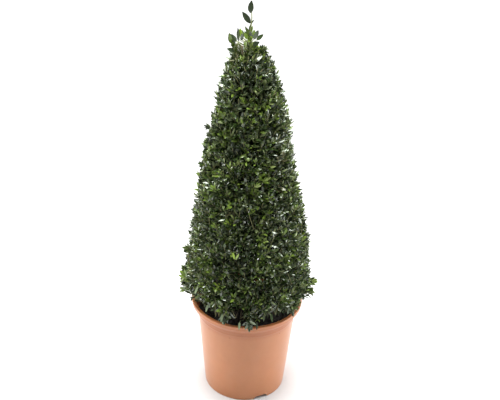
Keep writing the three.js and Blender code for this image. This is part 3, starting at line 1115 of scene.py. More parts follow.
@dataclass
class Limbs:
    """Stem, boughs, branches and twigs, grown from the stem outwards by a seeded branching rule.

    Boughs leave the stem a golden turn apart and rise to most of the crown's radius. Branches and twigs then grow
    from a place they have to reach back to the nearest limb point that lies lower, so that everything joins.
    """

    boughs: int = 34
    bough_points: int = 14
    branch_spacing: float = 0.040
    branch_depth: float = 0.042
    seed: int = 5
    stem_foot: float = field(default_factory=lambda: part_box("main_stem")[0].z)
    stem_fork: float = field(default_factory=lambda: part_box("main_stem")[1].z)
    foot_radius: float = 0.015
    stem_radius: float = 0.009
    fork_radius: float = 0.007
    leader_foot: float = field(default_factory=lambda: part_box("leader_stem")[0].z)
    leader_top: float = field(default_factory=lambda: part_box("leader_stem")[1].z)
    leader_x: float = field(default_factory=lambda: 0.5 * (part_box("leader_stem")[0].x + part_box("leader_stem")[1].x))

    def axis(self, height: np.ndarray) -> np.ndarray:
        """The stem's centre line: it leans evenly to the leader's foot, with a slow wander of a few millimetres."""
        lean = self.leader_x * smooth(height, self.stem_fork, self.leader_foot)
        middle = np.sin(np.pi * smooth(height, self.stem_fork, self.leader_foot))
        wander = 0.004 * middle * np.sin(height * 31.0)
        return np.stack([lean + wander, 0.003 * middle * np.cos(height * 27.0), height], axis=-1)

    def stem_radius_at(self, height: np.ndarray) -> np.ndarray:
        """Stem radius: a flare that dies away over the foot, then an even taper to the leader's tip."""
        flare = (self.foot_radius - self.stem_radius) * np.exp(-(height - self.stem_foot) / 0.005)
        low = np.interp(height, [self.stem_foot, self.stem_fork], [self.stem_radius, self.fork_radius])
        high = np.interp(height, [self.stem_fork, self.leader_foot], [self.fork_radius, 0.0016])
        return np.where(height < self.stem_fork, low, high) + flare

    def bark_relief(self, paths: np.ndarray, sides: int, radii: np.ndarray, seed: int) -> np.ndarray:
        """Relief of the bark: noise drawn out along the limb, a share of the radius deep.

        Args:
            paths: centre lines, of shape (limbs, points, 3).
            sides: corners of a limb's section.
            radii: radii, of shape (limbs, points).
            seed: number that picks the noise.

        Returns:
            What to add to the radius, of shape (limbs, points, sides).
        """
        limbs, points, _ = paths.shape
        turn = 2.0 * np.pi * np.arange(sides) / sides
        run = np.concatenate(
            [np.zeros((limbs, 1)), np.cumsum(np.linalg.norm(np.diff(paths, axis=1), axis=2), axis=1)], axis=1
        )
        round_x = np.cos(turn)[None, None] + np.zeros((limbs, points, 1)) + 7.0 * np.arange(limbs)[:, None, None]
        round_y = np.sin(turn)[None, None] + np.zeros((limbs, points, 1))
        down = np.repeat((run / 0.012)[:, :, None], sides, axis=2)
        place = np.stack([2.2 * round_x, 2.2 * round_y, down], axis=-1).reshape(-1, 3)
        rough = value_noise(place, 1.0, seed) + 0.5 * value_noise(place, 0.45, seed + 1)
        return 0.11 * radii[:, :, None] * rough.reshape(limbs, points, sides)

    def grow_stem(self, bark: bpy.types.Material) -> bpy.types.Object:
        """Builds the stem from its flat cut at the compost through the crown to the leader's foot."""
        height = np.concatenate([
            np.linspace(self.stem_foot, self.stem_foot + 0.02, 24, endpoint=False),
            np.linspace(self.stem_foot + 0.02, self.leader_foot + 0.004, 220),
        ])
        path = self.axis(height)[None]
        radii = self.stem_radius_at(height)[None]
        relief = self.bark_relief(path, 28, radii, self.seed)
        turn = 2.0 * np.pi * np.arange(28) / 28
        roots = np.exp(-(height - self.stem_foot) / 0.006)[:, None] * np.sin(5.0 * turn + 0.6)[None]
        vertices, faces = Tubes(path, radii, 28).build(relief + 0.0022 * roots[None])
        return new_piece("stem_with_bark", vertices, faces, [bark], ("main_stem",))

    def bough_paths(self, crown: "CrownRadius") -> np.ndarray:
        """Centre lines of the boughs, of shape (boughs, points, 3)."""
        rng = np.random.default_rng(self.seed)
        share = (np.arange(self.boughs) + 0.5) / self.boughs
        start_height = self.stem_foot + 0.018 + 0.50 * share**1.25
        turn = GOLDEN_TURN * np.arange(self.boughs)
        out = np.stack([np.cos(turn), np.sin(turn), np.zeros_like(turn)], axis=1)
        reach_height = start_height + rng.uniform(0.055, 0.12, self.boughs) * (1.1 - 0.4 * share)
        reach = 0.68 * crown.at(reach_height)
        start = self.axis(start_height)
        end = self.axis(reach_height) + reach[:, None] * out
        lift = start + out * (0.55 * reach)[:, None] + UP * (0.25 * (reach_height - start_height))[:, None]
        return curved_paths(start, lift, end, self.bough_points)

    def attach(self, targets: np.ndarray, limb_points: np.ndarray) -> np.ndarray:
        """Row number of the limb point that each target grows from: near, and lower rather than higher."""
        gap = targets[:, None] - limb_points[None]
        cost = np.linalg.norm(gap, axis=2) + 1.5 * np.maximum(0.0, 0.25 * np.linalg.norm(gap, axis=2) - gap[..., 2])
        return np.argmin(cost, axis=1)


@dataclass
class CrownRadius:
    """Outer radius of the clipped crown at a height, looked up among the CAD crown's vertices."""

    node: str = "crown_cone"
    bins: int = 60

    def __post_init__(self) -> None:
        """Reads the widest radius of every height band."""
        places = node_triangles(self.node).reshape(-1, 3)
        low, high = places[:, 2].min(), places[:, 2].max()
        band = np.clip(((places[:, 2] - low) / (high - low) * self.bins).astype(int), 0, self.bins - 1)
        widest = np.zeros(self.bins)
        np.maximum.at(widest, band, np.hypot(places[:, 0], places[:, 1]))
        self.heights = low + (high - low) * (np.arange(self.bins) + 0.5) / self.bins
        self.radii = np.interp(self.heights, self.heights[widest > 0], widest[widest > 0])

    def at(self, height: np.ndarray | float) -> np.ndarray | float:
        """Radius at heights; the small differences by angle are left out."""
        return np.interp(height, self.heights, self.radii)


@dataclass
class Crown:
    """The clipped cone: limbs inside, and a dense shell of leafy shoots that end at the clipped surface."""

    builder: LeafBuilder
    pot: Pot
    seed: int = 23
    outer_spacing: float = 0.0091
    inner_spacing: float = 0.0175
    skirt_low: float = 0.222
    skirt_high: float = 0.306
    rule: SprayRule = field(default_factory=SprayRule)
    limbs: Limbs = field(default_factory=Limbs)
    tone_weights: tuple[float, ...] = (0.17, 0.32, 0.28, 0.145, 0.074, 0.006, 0.0, 0.005)
    # The inner shoots take darker tones: partly the older leaves' own darker green, partly painted shade of the crowded
    # inside of the crown.
    inner_older_and_shade_weights: tuple[float, ...] = (0.50, 0.36, 0.14, 0.0, 0.0, 0.0, 0.0, 0.0)

    def layer(
        self, spacing: float, depth: tuple[float, float], weights: tuple[float, ...], rng: np.random.Generator
    ) -> Sprays:
        """Leafy shoots that end just under the clipped surface, or deeper.

        Args:
            spacing: distance between neighbouring shoots.
            depth: least and greatest distance of a shoot's tip under the surface.
            weights: share of the shoots that has each leaf tone.
            rng: seeded source of the differences.

        Returns:
            The shoots.
        """
        places, outward = CrownSites().scatter(spacing, rng)
        kept = rng.uniform(size=len(places)) < self.fullness_at(places)
        places, outward = places[kept], outward[kept]
        count = len(places)
        radius = np.hypot(places[:, 0], places[:, 1])
        lift = np.where(outward[:, 2] < -0.2, -0.30, 0.95)[:, None]
        heading = unit(outward + lift * UP + rng.normal(0.0, 0.34, (count, 3)))
        length = np.minimum(rng.uniform(0.036, 0.060, count), 0.55 * radius + 0.016)
        under = rng.uniform(*depth, count)
        rise = rng.uniform(0.0, 0.006, count)
        tip = places - outward * under[:, None]
        base = tip - heading * length[:, None] - rise[:, None] * UP
        tone = rng.choice(len(LeafTone), count, p=weights)
        # Painted shade: low on the skirt many shoots are dealt a darker tone, standing in for the shade under the
        # crown.
        shaded = rng.uniform(size=count) > smooth(places[:, 2], self.skirt_low, self.skirt_high) + 0.25
        tone = np.where(shaded, np.minimum(tone, rng.integers(0, 3, count)), tone)
        clipped = rng.uniform(size=count) < 0.55
        young = ~clipped & (rng.uniform(size=count) < 0.30)
        raised = np.minimum(tone + rng.integers(1, 3, count), LeafTone.FRESH.number)
        fresher = np.where(tone < LeafTone.FRESH.number, raised, tone)
        return Sprays(
            base=base,
            heading=heading,
            length=length,
            rise=rise,
            outward=outward,
            limit=places,
            scale=rng.uniform(0.80, 1.14, count) * self.leaf_scale_at(places[:, 2]),
            tone=tone,
            tip_tone=np.where(young, fresher, tone),
            clipped=clipped,
        )

    def leaf_scale_at(self, height: np.ndarray) -> np.ndarray:
        """Size of the leaves by height: larger towards the top, and on the skirt that the shears reach less."""
        skirt = 0.15 * (1.0 - smooth(height, self.skirt_low, self.skirt_high))
        return 0.96 + skirt + 0.30 * smooth(height, 0.30, 0.72)

    def fullness_at(self, places: np.ndarray) -> np.ndarray:
        """Share of the shoots that are there at places on the crown: fewer, and in clumps, low on the skirt."""
        turn = np.arctan2(places[:, 1], places[:, 0])
        round_places = np.stack([np.cos(turn), np.sin(turn), np.zeros_like(turn)], axis=1)
        clump = 0.5 + 0.5 * value_noise(round_places, 0.30, self.seed)
        low = np.clip(1.8 * clump - 0.56, 0.02, 1.0)
        return low + (1.0 - low) * smooth(places[:, 2], self.skirt_low, self.skirt_high)

    def clear_of_pot(self, leaves: LeafBatch) -> np.ndarray:
        """Truth value a leaf: whether it stays out of the pot's wall and lip and above the compost."""
        places = leaves.vertices(self.builder.shape)
        radius = np.hypot(places[..., 0], places[..., 1])
        height = places[..., 2]
        inner = np.where(
            height > self.pot.height - self.pot.cove_height,
            self.pot.wall_radius(self.pot.height - self.pot.cove_height) - 2 * self.pot.wall,
            self.pot.wall_radius(height) - 2 * self.pot.wall,
        )
        in_wall = (height < self.pot.height + 0.001) & (radius > inner) & (radius < self.pot.rim_radius + 0.001)
        in_compost = (height < 0.187) & (radius < self.pot.rim_radius)
        return ~(in_wall | in_compost).any(axis=1)

    def build(self) -> list[bpy.types.Object]:
        """Builds limbs and leaves, and reports their numbers."""
        rng = np.random.default_rng(self.seed)
        outer = self.layer(self.outer_spacing, (0.000, 0.009), self.tone_weights, rng)
        inner = self.layer(self.inner_spacing, (0.020, 0.036), self.inner_older_and_shade_weights, rng)
        leaves = LeafBatch.joined([outer.leaves(self.rule, rng), inner.leaves(self.rule, rng)])
        leaves = leaves.chosen(self.clear_of_pot(leaves))
        LOG.info("shoots %d + %d, leaves %d", len(outer.base), len(inner.base), len(leaves.length))
        made = self.builder.build("crown_leaves", leaves, Slot.LEAVES, ("crown_cone",))
        return made + self.build_limbs([outer, inner], rng)

    def build_limbs(self, layers: list[Sprays], rng: np.random.Generator) -> list[bpy.types.Object]:
        """Builds stem, boughs, branches, twigs and the shoots' own stems.

        Args:
            layers: the leafy shoots to reach.
            rng: seeded source of the branches' places.

        Returns:
            The pieces.
        """
        bark = BarkFinish().material()
        limbs = self.limbs
        made = [limbs.grow_stem(bark)]
        boughs = limbs.bough_paths(CrownRadius())
        taper = np.linspace(1.0, 0.0, limbs.bough_points)[None]
        radii = 0.0013 + 0.0028 * taper * np.linspace(1.0, 0.55, limbs.boughs)[:, None]
        vertices, faces = Tubes(boughs, radii, 9).build(limbs.bark_relief(boughs, 9, radii, 77))
        made.append(new_piece("boughs", vertices, faces, [bark]))

        stem_points = limbs.axis(np.linspace(limbs.stem_foot + 0.03, limbs.leader_foot, 60))
        limb_points = np.concatenate([boughs[:, 2:].reshape(-1, 3), stem_points])
        places, outward = CrownSites().scatter(limbs.branch_spacing, rng)
        depth = np.minimum(limbs.branch_depth, 0.6 * np.hypot(places[:, 0], places[:, 1]))
        branches = self.reach(places - outward * depth[:, None], limb_points, 8)
        made.append(self.thin_limbs("branches", branches, 0.0015, 0.0009, 6, [bark], Slot.BARK))

        limb_points = np.concatenate([branches[:, 1:].reshape(-1, 3), limb_points])
        bases = np.concatenate([layer.base for layer in layers])
        twigs = self.reach(bases, limb_points, 3)
        brown = PlainFinish("twig_brown", (0.095, 0.075, 0.040), 0.8).material()
        green = PlainFinish("twig_green", (0.190, 0.185, 0.075), 0.55).material()
        made.append(self.thin_limbs("twigs", twigs, 0.0009, 0.0007, 3, [brown], Slot.BARK))
        stems = np.concatenate([layer.stems(3) for layer in layers])
        made.append(self.thin_limbs("shoot_stems", stems, 0.0007, 0.0005, 3, [green], Slot.GREEN))
        return made

    def reach(self, targets: np.ndarray, limb_points: np.ndarray, points: int) -> np.ndarray:
        """Curves from the limb point that each target grows from to the target, sagging a little at first."""
        start = limb_points[self.limbs.attach(targets, limb_points)]
        gap = targets - start
        level = gap * np.array([1.0, 1.0, 0.0])
        lift = start + 0.55 * level + UP * (0.3 * gap[:, 2:])
        return curved_paths(start, lift, targets, points)

    def thin_limbs(
        self,
        name: str,
        paths: np.ndarray,
        thick: float,
        thin: float,
        sides: int,
        materials: list[bpy.types.Material],
        slot: Slot,
    ) -> bpy.types.Object:
        """Builds many evenly tapering limbs as one piece."""
        radii = np.tile(np.linspace(thick, thin, paths.shape[1]), (len(paths), 1))
        vertices, faces = Tubes(paths, radii, sides).build()
        return new_piece(name, vertices, faces, materials)


# ---------------------------------------------------------------- tufts and leader


@dataclass
class Tuft:
    """A bunch of shoots that escaped the shears, grown inside the space of its CAD node."""

    node: str
    shoots: int
    tone: LeafTone
    heading: tuple[float, float, float]
    tip_tone: LeafTone | None = None
    scale: float = 1.0
    slimness: float = 0.40
    spread: float = 0.45
    wander: float = 0.20
    shy: float = 0.0

    def sprays(self, rng: np.random.Generator) -> Sprays:
        """Shoots that run side by side along the tuft's heading and end near the outer end of its node."""
        places = node_triangles(self.node).reshape(-1, 3)
        centre = 0.5 * (places.min(axis=0) + places.max(axis=0))
        heading = unit(np.array(self.heading))
        run = (places - centre) @ heading
        reach = run.max() - self.shy
        width = np.abs(places - centre - run[:, None] * heading).max(axis=0)
        count = self.shoots
        jitter = rng.uniform(-1.0, 1.0, (count, 3)) * width * self.spread
        end = centre + heading * (reach - 0.009 * self.scale) * rng.uniform(0.7, 1.0, (count, 1)) + jitter
        headings = unit(heading + rng.normal(0.0, self.wander, (count, 3)))
        length = rng.uniform(0.030, 0.044, count)
        tip_tone = self.tip_tone or self.tone
        return Sprays(
            base=end - headings * length[:, None],
            heading=headings,
            length=length,
            rise=np.zeros(count),
            outward=np.tile(heading, (count, 1)),
            limit=np.tile(centre + heading * reach, (count, 1)),
            scale=self.scale * rng.uniform(0.9, 1.1, count),
            tone=np.full(count, self.tone.number),
            tip_tone=np.full(count, tip_tone.number),
            clipped=np.zeros(count, bool),
        )


# How far larger leaves differ from their shoot's own size, with roll in degrees and turn in radians
LENGTH_SHARES = (0.90, 1.06)
WIDTH_SHARES = (0.90, 1.08)
MOST_ROLL = 24.0
MOST_TURN = 0.25


@dataclass
class LargeLeaves:
    """Larger leaves as arrays: foot, run from foot to tip, width, roll in degrees about the length, and tone."""

    foot: np.ndarray
    run: np.ndarray
    width: np.ndarray
    roll: np.ndarray
    tone: np.ndarray

    @staticmethod
    def joined(parts: list["LargeLeaves"]) -> "LargeLeaves":
        """All the leaves of several parts in one."""
        names = LargeLeaves.__dataclass_fields__
        return LargeLeaves(**{name: np.concatenate([getattr(part, name) for part in parts]) for name in names})

    @staticmethod
    def along(
        foot: np.ndarray,
        way: np.ndarray,
        shoot: "LargeShoot | Whorl | Hem",
        rng: np.random.Generator,
    ) -> "LargeLeaves":
        """Leaves of a shoot's own length, width and tones, with small seeded differences.

        The last leaf has exactly the shoot's own length, so that a shoot ends where its CAD node does.

        Args:
            foot: where the leaves start.
            way: unit vectors that they run along.
            shoot: gives length, width and tones.
            rng: seeded source of the differences.

        Returns:
            The leaves.
        """
        count = len(foot)
        share = rng.uniform(*LENGTH_SHARES, count)
        share[-1] = 1.0
        length = shoot.length * share
        return LargeLeaves(
            foot=foot,
            run=way * length[:, None],
            width=shoot.width * rng.uniform(*WIDTH_SHARES, count),
            roll=rng.uniform(-MOST_ROLL, MOST_ROLL, count),
            tone=np.array([tone.number for tone in shoot.tones]),
        )

    def grown(self, rng: np.random.Generator) -> LeafBatch:
        """The leaves, each facing the side of the plant that it stands on and rolled about its length.

        Args:
            rng: seeded source of their small bends.

        Returns:
            The leaves.
        """
        roll = np.radians(self.roll)[:, None]
        along = unit(self.run)
        front = np.where(self.foot[:, 1:2] > 0.004, [[0.0, 1.0, 0.5]], [[0.0, -1.0, 0.5]])
        normal = unit(front - np.sum(front * along, axis=1, keepdims=True) * along)
        count = len(self.foot)
        return LeafBatch(
            origin=self.foot,
            along=along,
            facing=np.cos(roll) * normal + np.sin(roll) * np.cross(along, normal),
            length=np.linalg.norm(self.run, axis=1),
            width=self.width,
            fold=rng.uniform(0.15, 0.40, count),
            curl=rng.uniform(-0.05, 0.05, count),
            twist=rng.uniform(-0.25, 0.25, count),
            tone=self.tone,
        )


@dataclass
class LargeShoot:
    """A shoot of larger leaves along its CAD node, in opposite pairs a quarter turn on from one another."""

    node: str
    heading: tuple[float, float, float]
    tones: tuple[LeafTone, ...]
    length: float
    width: float
    splay: float = 45.0
    leafy: float = 0.35
    forward: float = 0.0

    def leaves(self, rng: np.random.Generator) -> LargeLeaves:
        """The shoot's leaves from the lowest pair up.

        A leaf's rank is its place among the leaves, 1 at the top. Its foot stands below the top leaf's by the
        leafy share of the node's run times one less the rank, and it leans off the heading by the splay times
        one less the rank.

        Args:
            rng: seeded source of small differences.

        Returns:
            The leaves.
        """
        places = node_triangles(self.node).reshape(-1, 3)
        centre = 0.5 * (places.min(axis=0) + places.max(axis=0))
        heading = unit(np.array(self.heading))
        run = (places - centre) @ heading
        centre[1] -= self.forward
        count = len(self.tones)
        step = np.arange(count)
        rank = (step + 1.0) / count
        top = run.max() - self.length
        place = top - self.leafy * (run.max() - run.min()) * (1.0 - rank)
        side = unit(np.cross(heading, np.array([0.0, 1.0, 0.0])))
        turn = np.pi * (step % 2) + 0.5 * np.pi * (step // 2) + rng.uniform(-MOST_TURN, MOST_TURN, count)
        out = np.cos(turn)[:, None] * side + np.sin(turn)[:, None] * np.cross(side, heading)
        lean = np.radians(self.splay) * (1.0 - rank)
        way = np.cos(lean)[:, None] * heading + np.sin(lean)[:, None] * out
        return LargeLeaves.along(centre + place[:, None] * heading, way, self, rng)


@dataclass
class Whorl:
    """Larger leaves a golden turn apart round a stem, the low ones leaning out and the high ones upright."""

    centre: tuple[float, float]
    low: float
    high: float
    tones: tuple[LeafTone, ...]
    length: float
    width: float
    radius: float
    lean_low: float = 60.0
    lean_high: float = 8.0

    def leaves(self, rng: np.random.Generator) -> LargeLeaves:
        """The whorl's leaves from the lowest up: height and lean change evenly with the leaf's number.

        Args:
            rng: seeded source of small differences.

        Returns:
            The leaves.
        """
        count = len(self.tones)
        rank = np.linspace(0.0, 1.0, count)
        turn = GOLDEN_TURN * np.arange(count) + rng.uniform(-MOST_TURN, MOST_TURN, count)
        outward = np.stack([np.cos(turn), np.sin(turn), np.zeros(count)], axis=1)
        reach = self.radius * (1.0 - 0.7 * rank)
        foot = np.array([*self.centre, 0.0]) + outward * reach[:, None]
        foot[:, 2] = self.low + (self.high - self.low) * rank
        lean = np.radians(self.lean_low + (self.lean_high - self.lean_low) * rank)[:, None]
        return LargeLeaves.along(foot, np.cos(lean) * UP + np.sin(lean) * outward, self, rng)


@dataclass
class Hem:
    """Single leaves that hang from the skirt's edge at even steps round one side of it."""

    tones: tuple[LeafTone, ...]
    radius: float
    first_turn: float
    last_turn: float
    front_height: float = 0.232
    side_rise: float = 0.11
    stray_turn: float = 0.04
    stray_height: float = 0.006
    droop: float = 68.0
    length: float = 0.018
    width: float = 0.0050

    def leaves(self, rng: np.random.Generator) -> LargeLeaves:
        """The hem's leaves; the edge rises by the side rise times one less the cosine of the turn from in front.

        Args:
            rng: seeded source of small differences.

        Returns:
            The leaves.
        """
        count = len(self.tones)
        turn = np.radians(np.linspace(self.first_turn, self.last_turn, count))
        turn += rng.uniform(-self.stray_turn, self.stray_turn, count)
        outward = np.stack([np.cos(turn), np.sin(turn), np.zeros(count)], axis=1)
        foot = outward * self.radius
        stray = rng.uniform(-self.stray_height, self.stray_height, count)
        foot[:, 2] = self.front_height + self.side_rise * (1.0 + np.sin(turn)) + stray
        droop = np.radians(self.droop)
        return LargeLeaves.along(foot, np.cos(droop) * outward - np.sin(droop) * UP, self, rng)


def stalks(leaves: LeafBatch, axis_x: float, length: float) -> np.ndarray:
    """Paths of short stalks that start inside the crown and end in the leaves' feet.

    Args:
        leaves: the leaves.
        axis_x: where the crown's own axis stands.
        length: how far a stalk runs towards the axis; it stops sooner if it gets there.

    Returns:
        The paths, of shape (leaves, points, 3).
    """
    inward = np.array([axis_x, 0.0, 0.0]) - leaves.origin * np.array([1.0, 1.0, 0.0])
    far = np.linalg.norm(inward, axis=1, keepdims=True)
    start = leaves.origin + unit(inward) * np.minimum(far, length) - 0.6 * length * UP
    end = leaves.origin + 0.0015 * leaves.along
    return curved_paths(start, 0.5 * (start + end) - 0.1 * length * UP, end, 4)


@dataclass
class Tufts:
    """All the tufts and the twigs that carry them: bunches of shoots, and the larger leaves."""

    builder: LeafBuilder
    crown: Crown
    seed: int = 41
    large_seed: int = 43
    sprig_height: float = 0.370
    sprig_turn: float = -102.0
    hem_radius: float = 0.125
    crown_radius: CrownRadius = field(default_factory=CrownRadius)

    def plan(self) -> list[Tuft]:
        """The tufts, each with its number of shoots, its colours and the way it points."""
        deep, dark, mid = LeafTone.DEEP, LeafTone.DARK, LeafTone.MID
        olive, fresh = LeafTone.OLIVE, LeafTone.FRESH
        return [
            Tuft("left_shoulder_tuft", 3, mid, (-0.30, 0.0, 1.0), olive, shy=0.022, spread=0.25),
            Tuft("right_shoulder_tuft", 3, dark, (0.75, -0.1, 0.6), mid, scale=0.95, spread=0.25),
            Tuft("upper_left_sprig", 1, dark, (-1.0, 0.0, 0.45), mid, spread=0.1),
            Tuft("lower_left_tuft_upper", 3, mid, (-0.8, -0.1, 0.5), olive),
            Tuft("lower_left_tuft_middle", 3, mid, (-0.55, -0.1, 0.8), olive, shy=0.008),
            Tuft("lower_left_tuft_lower", 4, dark, (-0.9, -0.2, 0.1), mid),
            Tuft("lower_right_tuft_upper", 3, mid, (0.95, -0.1, 0.2), fresh),
            Tuft("lower_right_tuft_lower", 4, mid, (0.95, -0.2, -0.05), olive),
            Tuft("skirt_front_tuft", 3, deep, (0.05, -0.75, -0.55), dark, shy=0.012, slimness=0.36, spread=0.3),
            Tuft("skirt_front_left_tuft", 4, deep, (-0.1, -0.75, -0.6), dark, shy=0.008, slimness=0.36, spread=0.5),
            Tuft("skirt_right_tuft", 3, deep, (0.45, -0.6, -0.55), dark, shy=0.010, slimness=0.36, spread=0.4),
        ]

    def large_leaves(self, rng: np.random.Generator) -> LargeLeaves:
        """The larger leaves at the sides and on the skirt, from left to right, and a bright sprig in front."""
        deep, dark, mid, olive = LeafTone.DEEP, LeafTone.DARK, LeafTone.MID, LeafTone.OLIVE
        # The pale tone is a painted highlight, standing in for glints on the hem and skirt leaves.
        fresh, lime, pale = LeafTone.FRESH, LeafTone.LIME, LeafTone.PAINTED_GLINT
        height = self.sprig_height
        radius = self.crown_radius.at(height) + 0.002
        turn = math.radians(self.sprig_turn)
        sprig = (radius * math.cos(turn), radius * math.sin(turn))
        groups = [
            LargeShoot("lower_left_tuft_middle", (-0.60, -0.05, 0.85), (lime, fresh, lime, fresh, lime),
                       length=0.0195, width=0.0062, splay=42.0, leafy=0.20, forward=0.026),
            LargeShoot("lower_left_tuft_lower", (-0.90, -0.05, 0.35), (fresh, olive, lime),
                       length=0.0150, width=0.0056, splay=50.0, leafy=0.18, forward=0.024),
            LargeShoot("lower_left_tuft_upper", (-0.75, 0.0, 0.75), (dark, deep, olive, olive),
                       length=0.013, width=0.0057),
            LargeShoot("upper_left_sprig", (-1.0, 0.0, 0.3), (dark, mid, mid, dark),
                       length=0.013, width=0.0047),
            LargeShoot("lower_right_tuft_upper", (0.95, 0.0, 0.25), (dark, olive),
                       length=0.016, width=0.0051),
            LargeShoot("lower_right_tuft_lower", (0.9, 0.0, -0.4), (fresh,), length=0.016, width=0.0056),
            Whorl(sprig, low=height, high=height, tones=(lime, lime),
                  length=0.0150, width=0.0045, radius=0.002, lean_low=22.0, lean_high=16.0),
            Hem((pale, pale, pale, pale, dark, mid), self.hem_radius, first_turn=-143.0, last_turn=-66.0),
            LargeShoot("skirt_front_left_tuft", (0.05, -0.25, -1.0), (pale, dark, olive, dark, pale, mid),
                       length=0.018, width=0.0055, splay=65.0, leafy=0.32),
            LargeShoot("skirt_front_tuft", (0.02, -0.2, -1.0),
                       (pale, dark, pale, dark, mid, dark, mid, dark, mid),
                       length=0.0175, width=0.0060, splay=70.0, leafy=0.30),
            LargeShoot("skirt_right_tuft", (0.35, -0.2, -0.9), (olive, mid, olive, dark, pale),
                       length=0.0185, width=0.0060, splay=65.0, leafy=0.40),
        ]
        return LargeLeaves.joined([group.leaves(rng) for group in groups])

    def build(self) -> list[bpy.types.Object]:
        """Builds the tufts' leaves as one piece and their stems as another."""
        rng = np.random.default_rng(self.seed)
        plan = self.plan()
        grown = [tuft.sprays(rng) for tuft in plan]
        rules = [replace(self.crown.rule, slimness=tuft.slimness) for tuft in plan]
        leaves = LeafBatch.joined([sprays.leaves(rule, rng) for sprays, rule in zip(grown, rules)])
        leaves = leaves.chosen(self.crown.clear_of_pot(leaves))
        placed = self.large_leaves(np.random.default_rng(self.large_seed)).grown(rng)
        nodes = tuple(tuft.node for tuft in plan)
        made = self.builder.build("tuft_leaves", LeafBatch.joined([leaves, placed]), Slot.YOUNG, nodes)
        stems = np.concatenate([*(sprays.stems(4) for sprays in grown), stalks(placed, 0.0, 0.020)])
        green = PlainFinish("tuft_stem_green", (0.150, 0.185, 0.050), 0.6).material()
        made.append(self.crown.thin_limbs("tuft_stems", stems, 0.0008, 0.0005, 5, [green], Slot.GREEN))
        return made


@dataclass
class Leader:
    """The shoot at the very top: a green stem with large leaves, and the crest of leaves round its foot."""

    builder: LeafBuilder
    crown: Crown
    seed: int = 61
    large_seed: int = 67

    def shoot_leaves(self, rng: np.random.Generator) -> LargeLeaves:
        """The leaves up the free part of the shoot: the young ones, the large left one and the top one."""
        dark, olive, fresh = LeafTone.DARK, LeafTone.OLIVE, LeafTone.FRESH
        x = self.crown.limbs.leader_x
        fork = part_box("leader_left_leaf")[0].z + 0.005
        groups = [
            LargeShoot("leader_tip_leaves", (0.06, 0.0, 1.0), (dark,), length=0.0235, width=0.0110),
            LargeShoot("leader_left_leaf", (-0.60, 0.0, 0.80), (dark,), length=0.0265, width=0.0112),
            Whorl((x, 0.0), low=fork, high=fork, tones=(dark,), length=0.0095, width=0.0036, radius=0.0008,
                  lean_low=36.0),
            LargeShoot("leader_young_leaves", (0.02, 0.0, 1.0), (olive, fresh, olive),
                       length=0.0180, width=0.0062, splay=48.0, leafy=0.12),
        ]
        return LargeLeaves.joined([group.leaves(rng) for group in groups])

    def crest_leaves(self, rng: np.random.Generator) -> LargeLeaves:
        """The leaves round the shoot's foot: a wide low whorl and a narrow high one."""
        deep, dark, mid = LeafTone.DEEP, LeafTone.DARK, LeafTone.MID
        olive, fresh, lime = LeafTone.OLIVE, LeafTone.FRESH, LeafTone.LIME
        low, high = (corner.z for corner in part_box("crest_tuft"))
        x = self.crown.limbs.leader_x
        wide = Whorl((x - 0.013, -0.004), low=low + 0.001, high=low + 0.014,
                     tones=(dark, olive, fresh, deep, mid, lime, deep, dark, olive, lime),
                     length=0.0160, width=0.0085, radius=0.017)
        narrow = Whorl((x + 0.001, -0.003), low=low + 0.010, high=high - 0.016,
                       tones=(mid, dark, olive, deep, fresh, mid, dark, deep, fresh),
                       length=0.0170, width=0.0082, radius=0.010, lean_low=45.0)
        return LargeLeaves.joined([wide.leaves(rng), narrow.leaves(rng)])

    def shoulder_leaves(self, rng: np.random.Generator) -> LargeLeaves:
        """The leaves of the left shoulder, with the thin upright shoot beside the gap."""
        dark, mid, olive, fresh = LeafTone.DARK, LeafTone.MID, LeafTone.OLIVE, LeafTone.FRESH
        groups = [
            LargeShoot("left_upright_shoot", (-0.08, 0.0, 1.0), (dark, olive, dark),
                       length=0.0200, width=0.0042, splay=10.0, leafy=0.30),
            LargeShoot("left_shoulder_tuft", (-0.32, 0.0, 1.0),
                       (mid, olive, mid, olive, dark, olive, fresh, olive),
                       length=0.0150, width=0.0074, splay=62.0, leafy=0.52),
        ]
        return LargeLeaves.joined([group.leaves(rng) for group in groups])

    def build(self) -> list[bpy.types.Object]:
        """Builds the leader's stem, its leaves, the crest and the left shoulder."""
        limbs = self.crown.limbs
        height = np.linspace(limbs.leader_foot - 0.002, limbs.leader_top + 0.006, 24)
        wander = 0.0012 * np.sin((height - limbs.leader_foot) * 90.0)
        path = np.stack([limbs.leader_x + wander, 0.4 * wander, height], axis=1)[None]
        radii = np.interp(height, [limbs.leader_foot, limbs.leader_top], [0.0017, 0.0010])[None]
        vertices, faces = Tubes(path, radii, 10).build()
        green = PlainFinish("leader_green", (0.230, 0.260, 0.090), 0.5).material()
        made = [new_piece("leader_shoot_stem", vertices, faces, [green], ("leader_stem",))]
        rng = np.random.default_rng(self.seed)
        fine = LeafBuilder(LeafShape(stations=(0.07, 0.24, 0.46, 0.70, 0.90)), finishes=self.builder.finishes)
        own = np.random.default_rng(self.large_seed)
        shoot = self.shoot_leaves(own).grown(rng)
        crest = self.crest_leaves(own).grown(rng)
        shoulder = self.shoulder_leaves(own).grown(rng)
        shoot_nodes = ("leader_tip_leaves", "leader_left_leaf", "leader_young_leaves")
        made += fine.build("leader_leaves", shoot, Slot.YOUNG, shoot_nodes)
        made += fine.build("crest_leaves", crest, Slot.YOUNG, ("crest_tuft",))
        made += fine.build("shoulder_leaves", shoulder, Slot.YOUNG, ("left_upright_shoot",))
        crest_paths = stalks(crest, limbs.leader_x, 0.014)
        paths = np.concatenate([crest_paths, stalks(shoulder, limbs.leader_x, 0.016)])
        made.append(self.crown.thin_limbs("crest_stalks", paths, 0.0009, 0.0006, 5, [green], Slot.GREEN))
        return made


# ---------------------------------------------------------------- studio


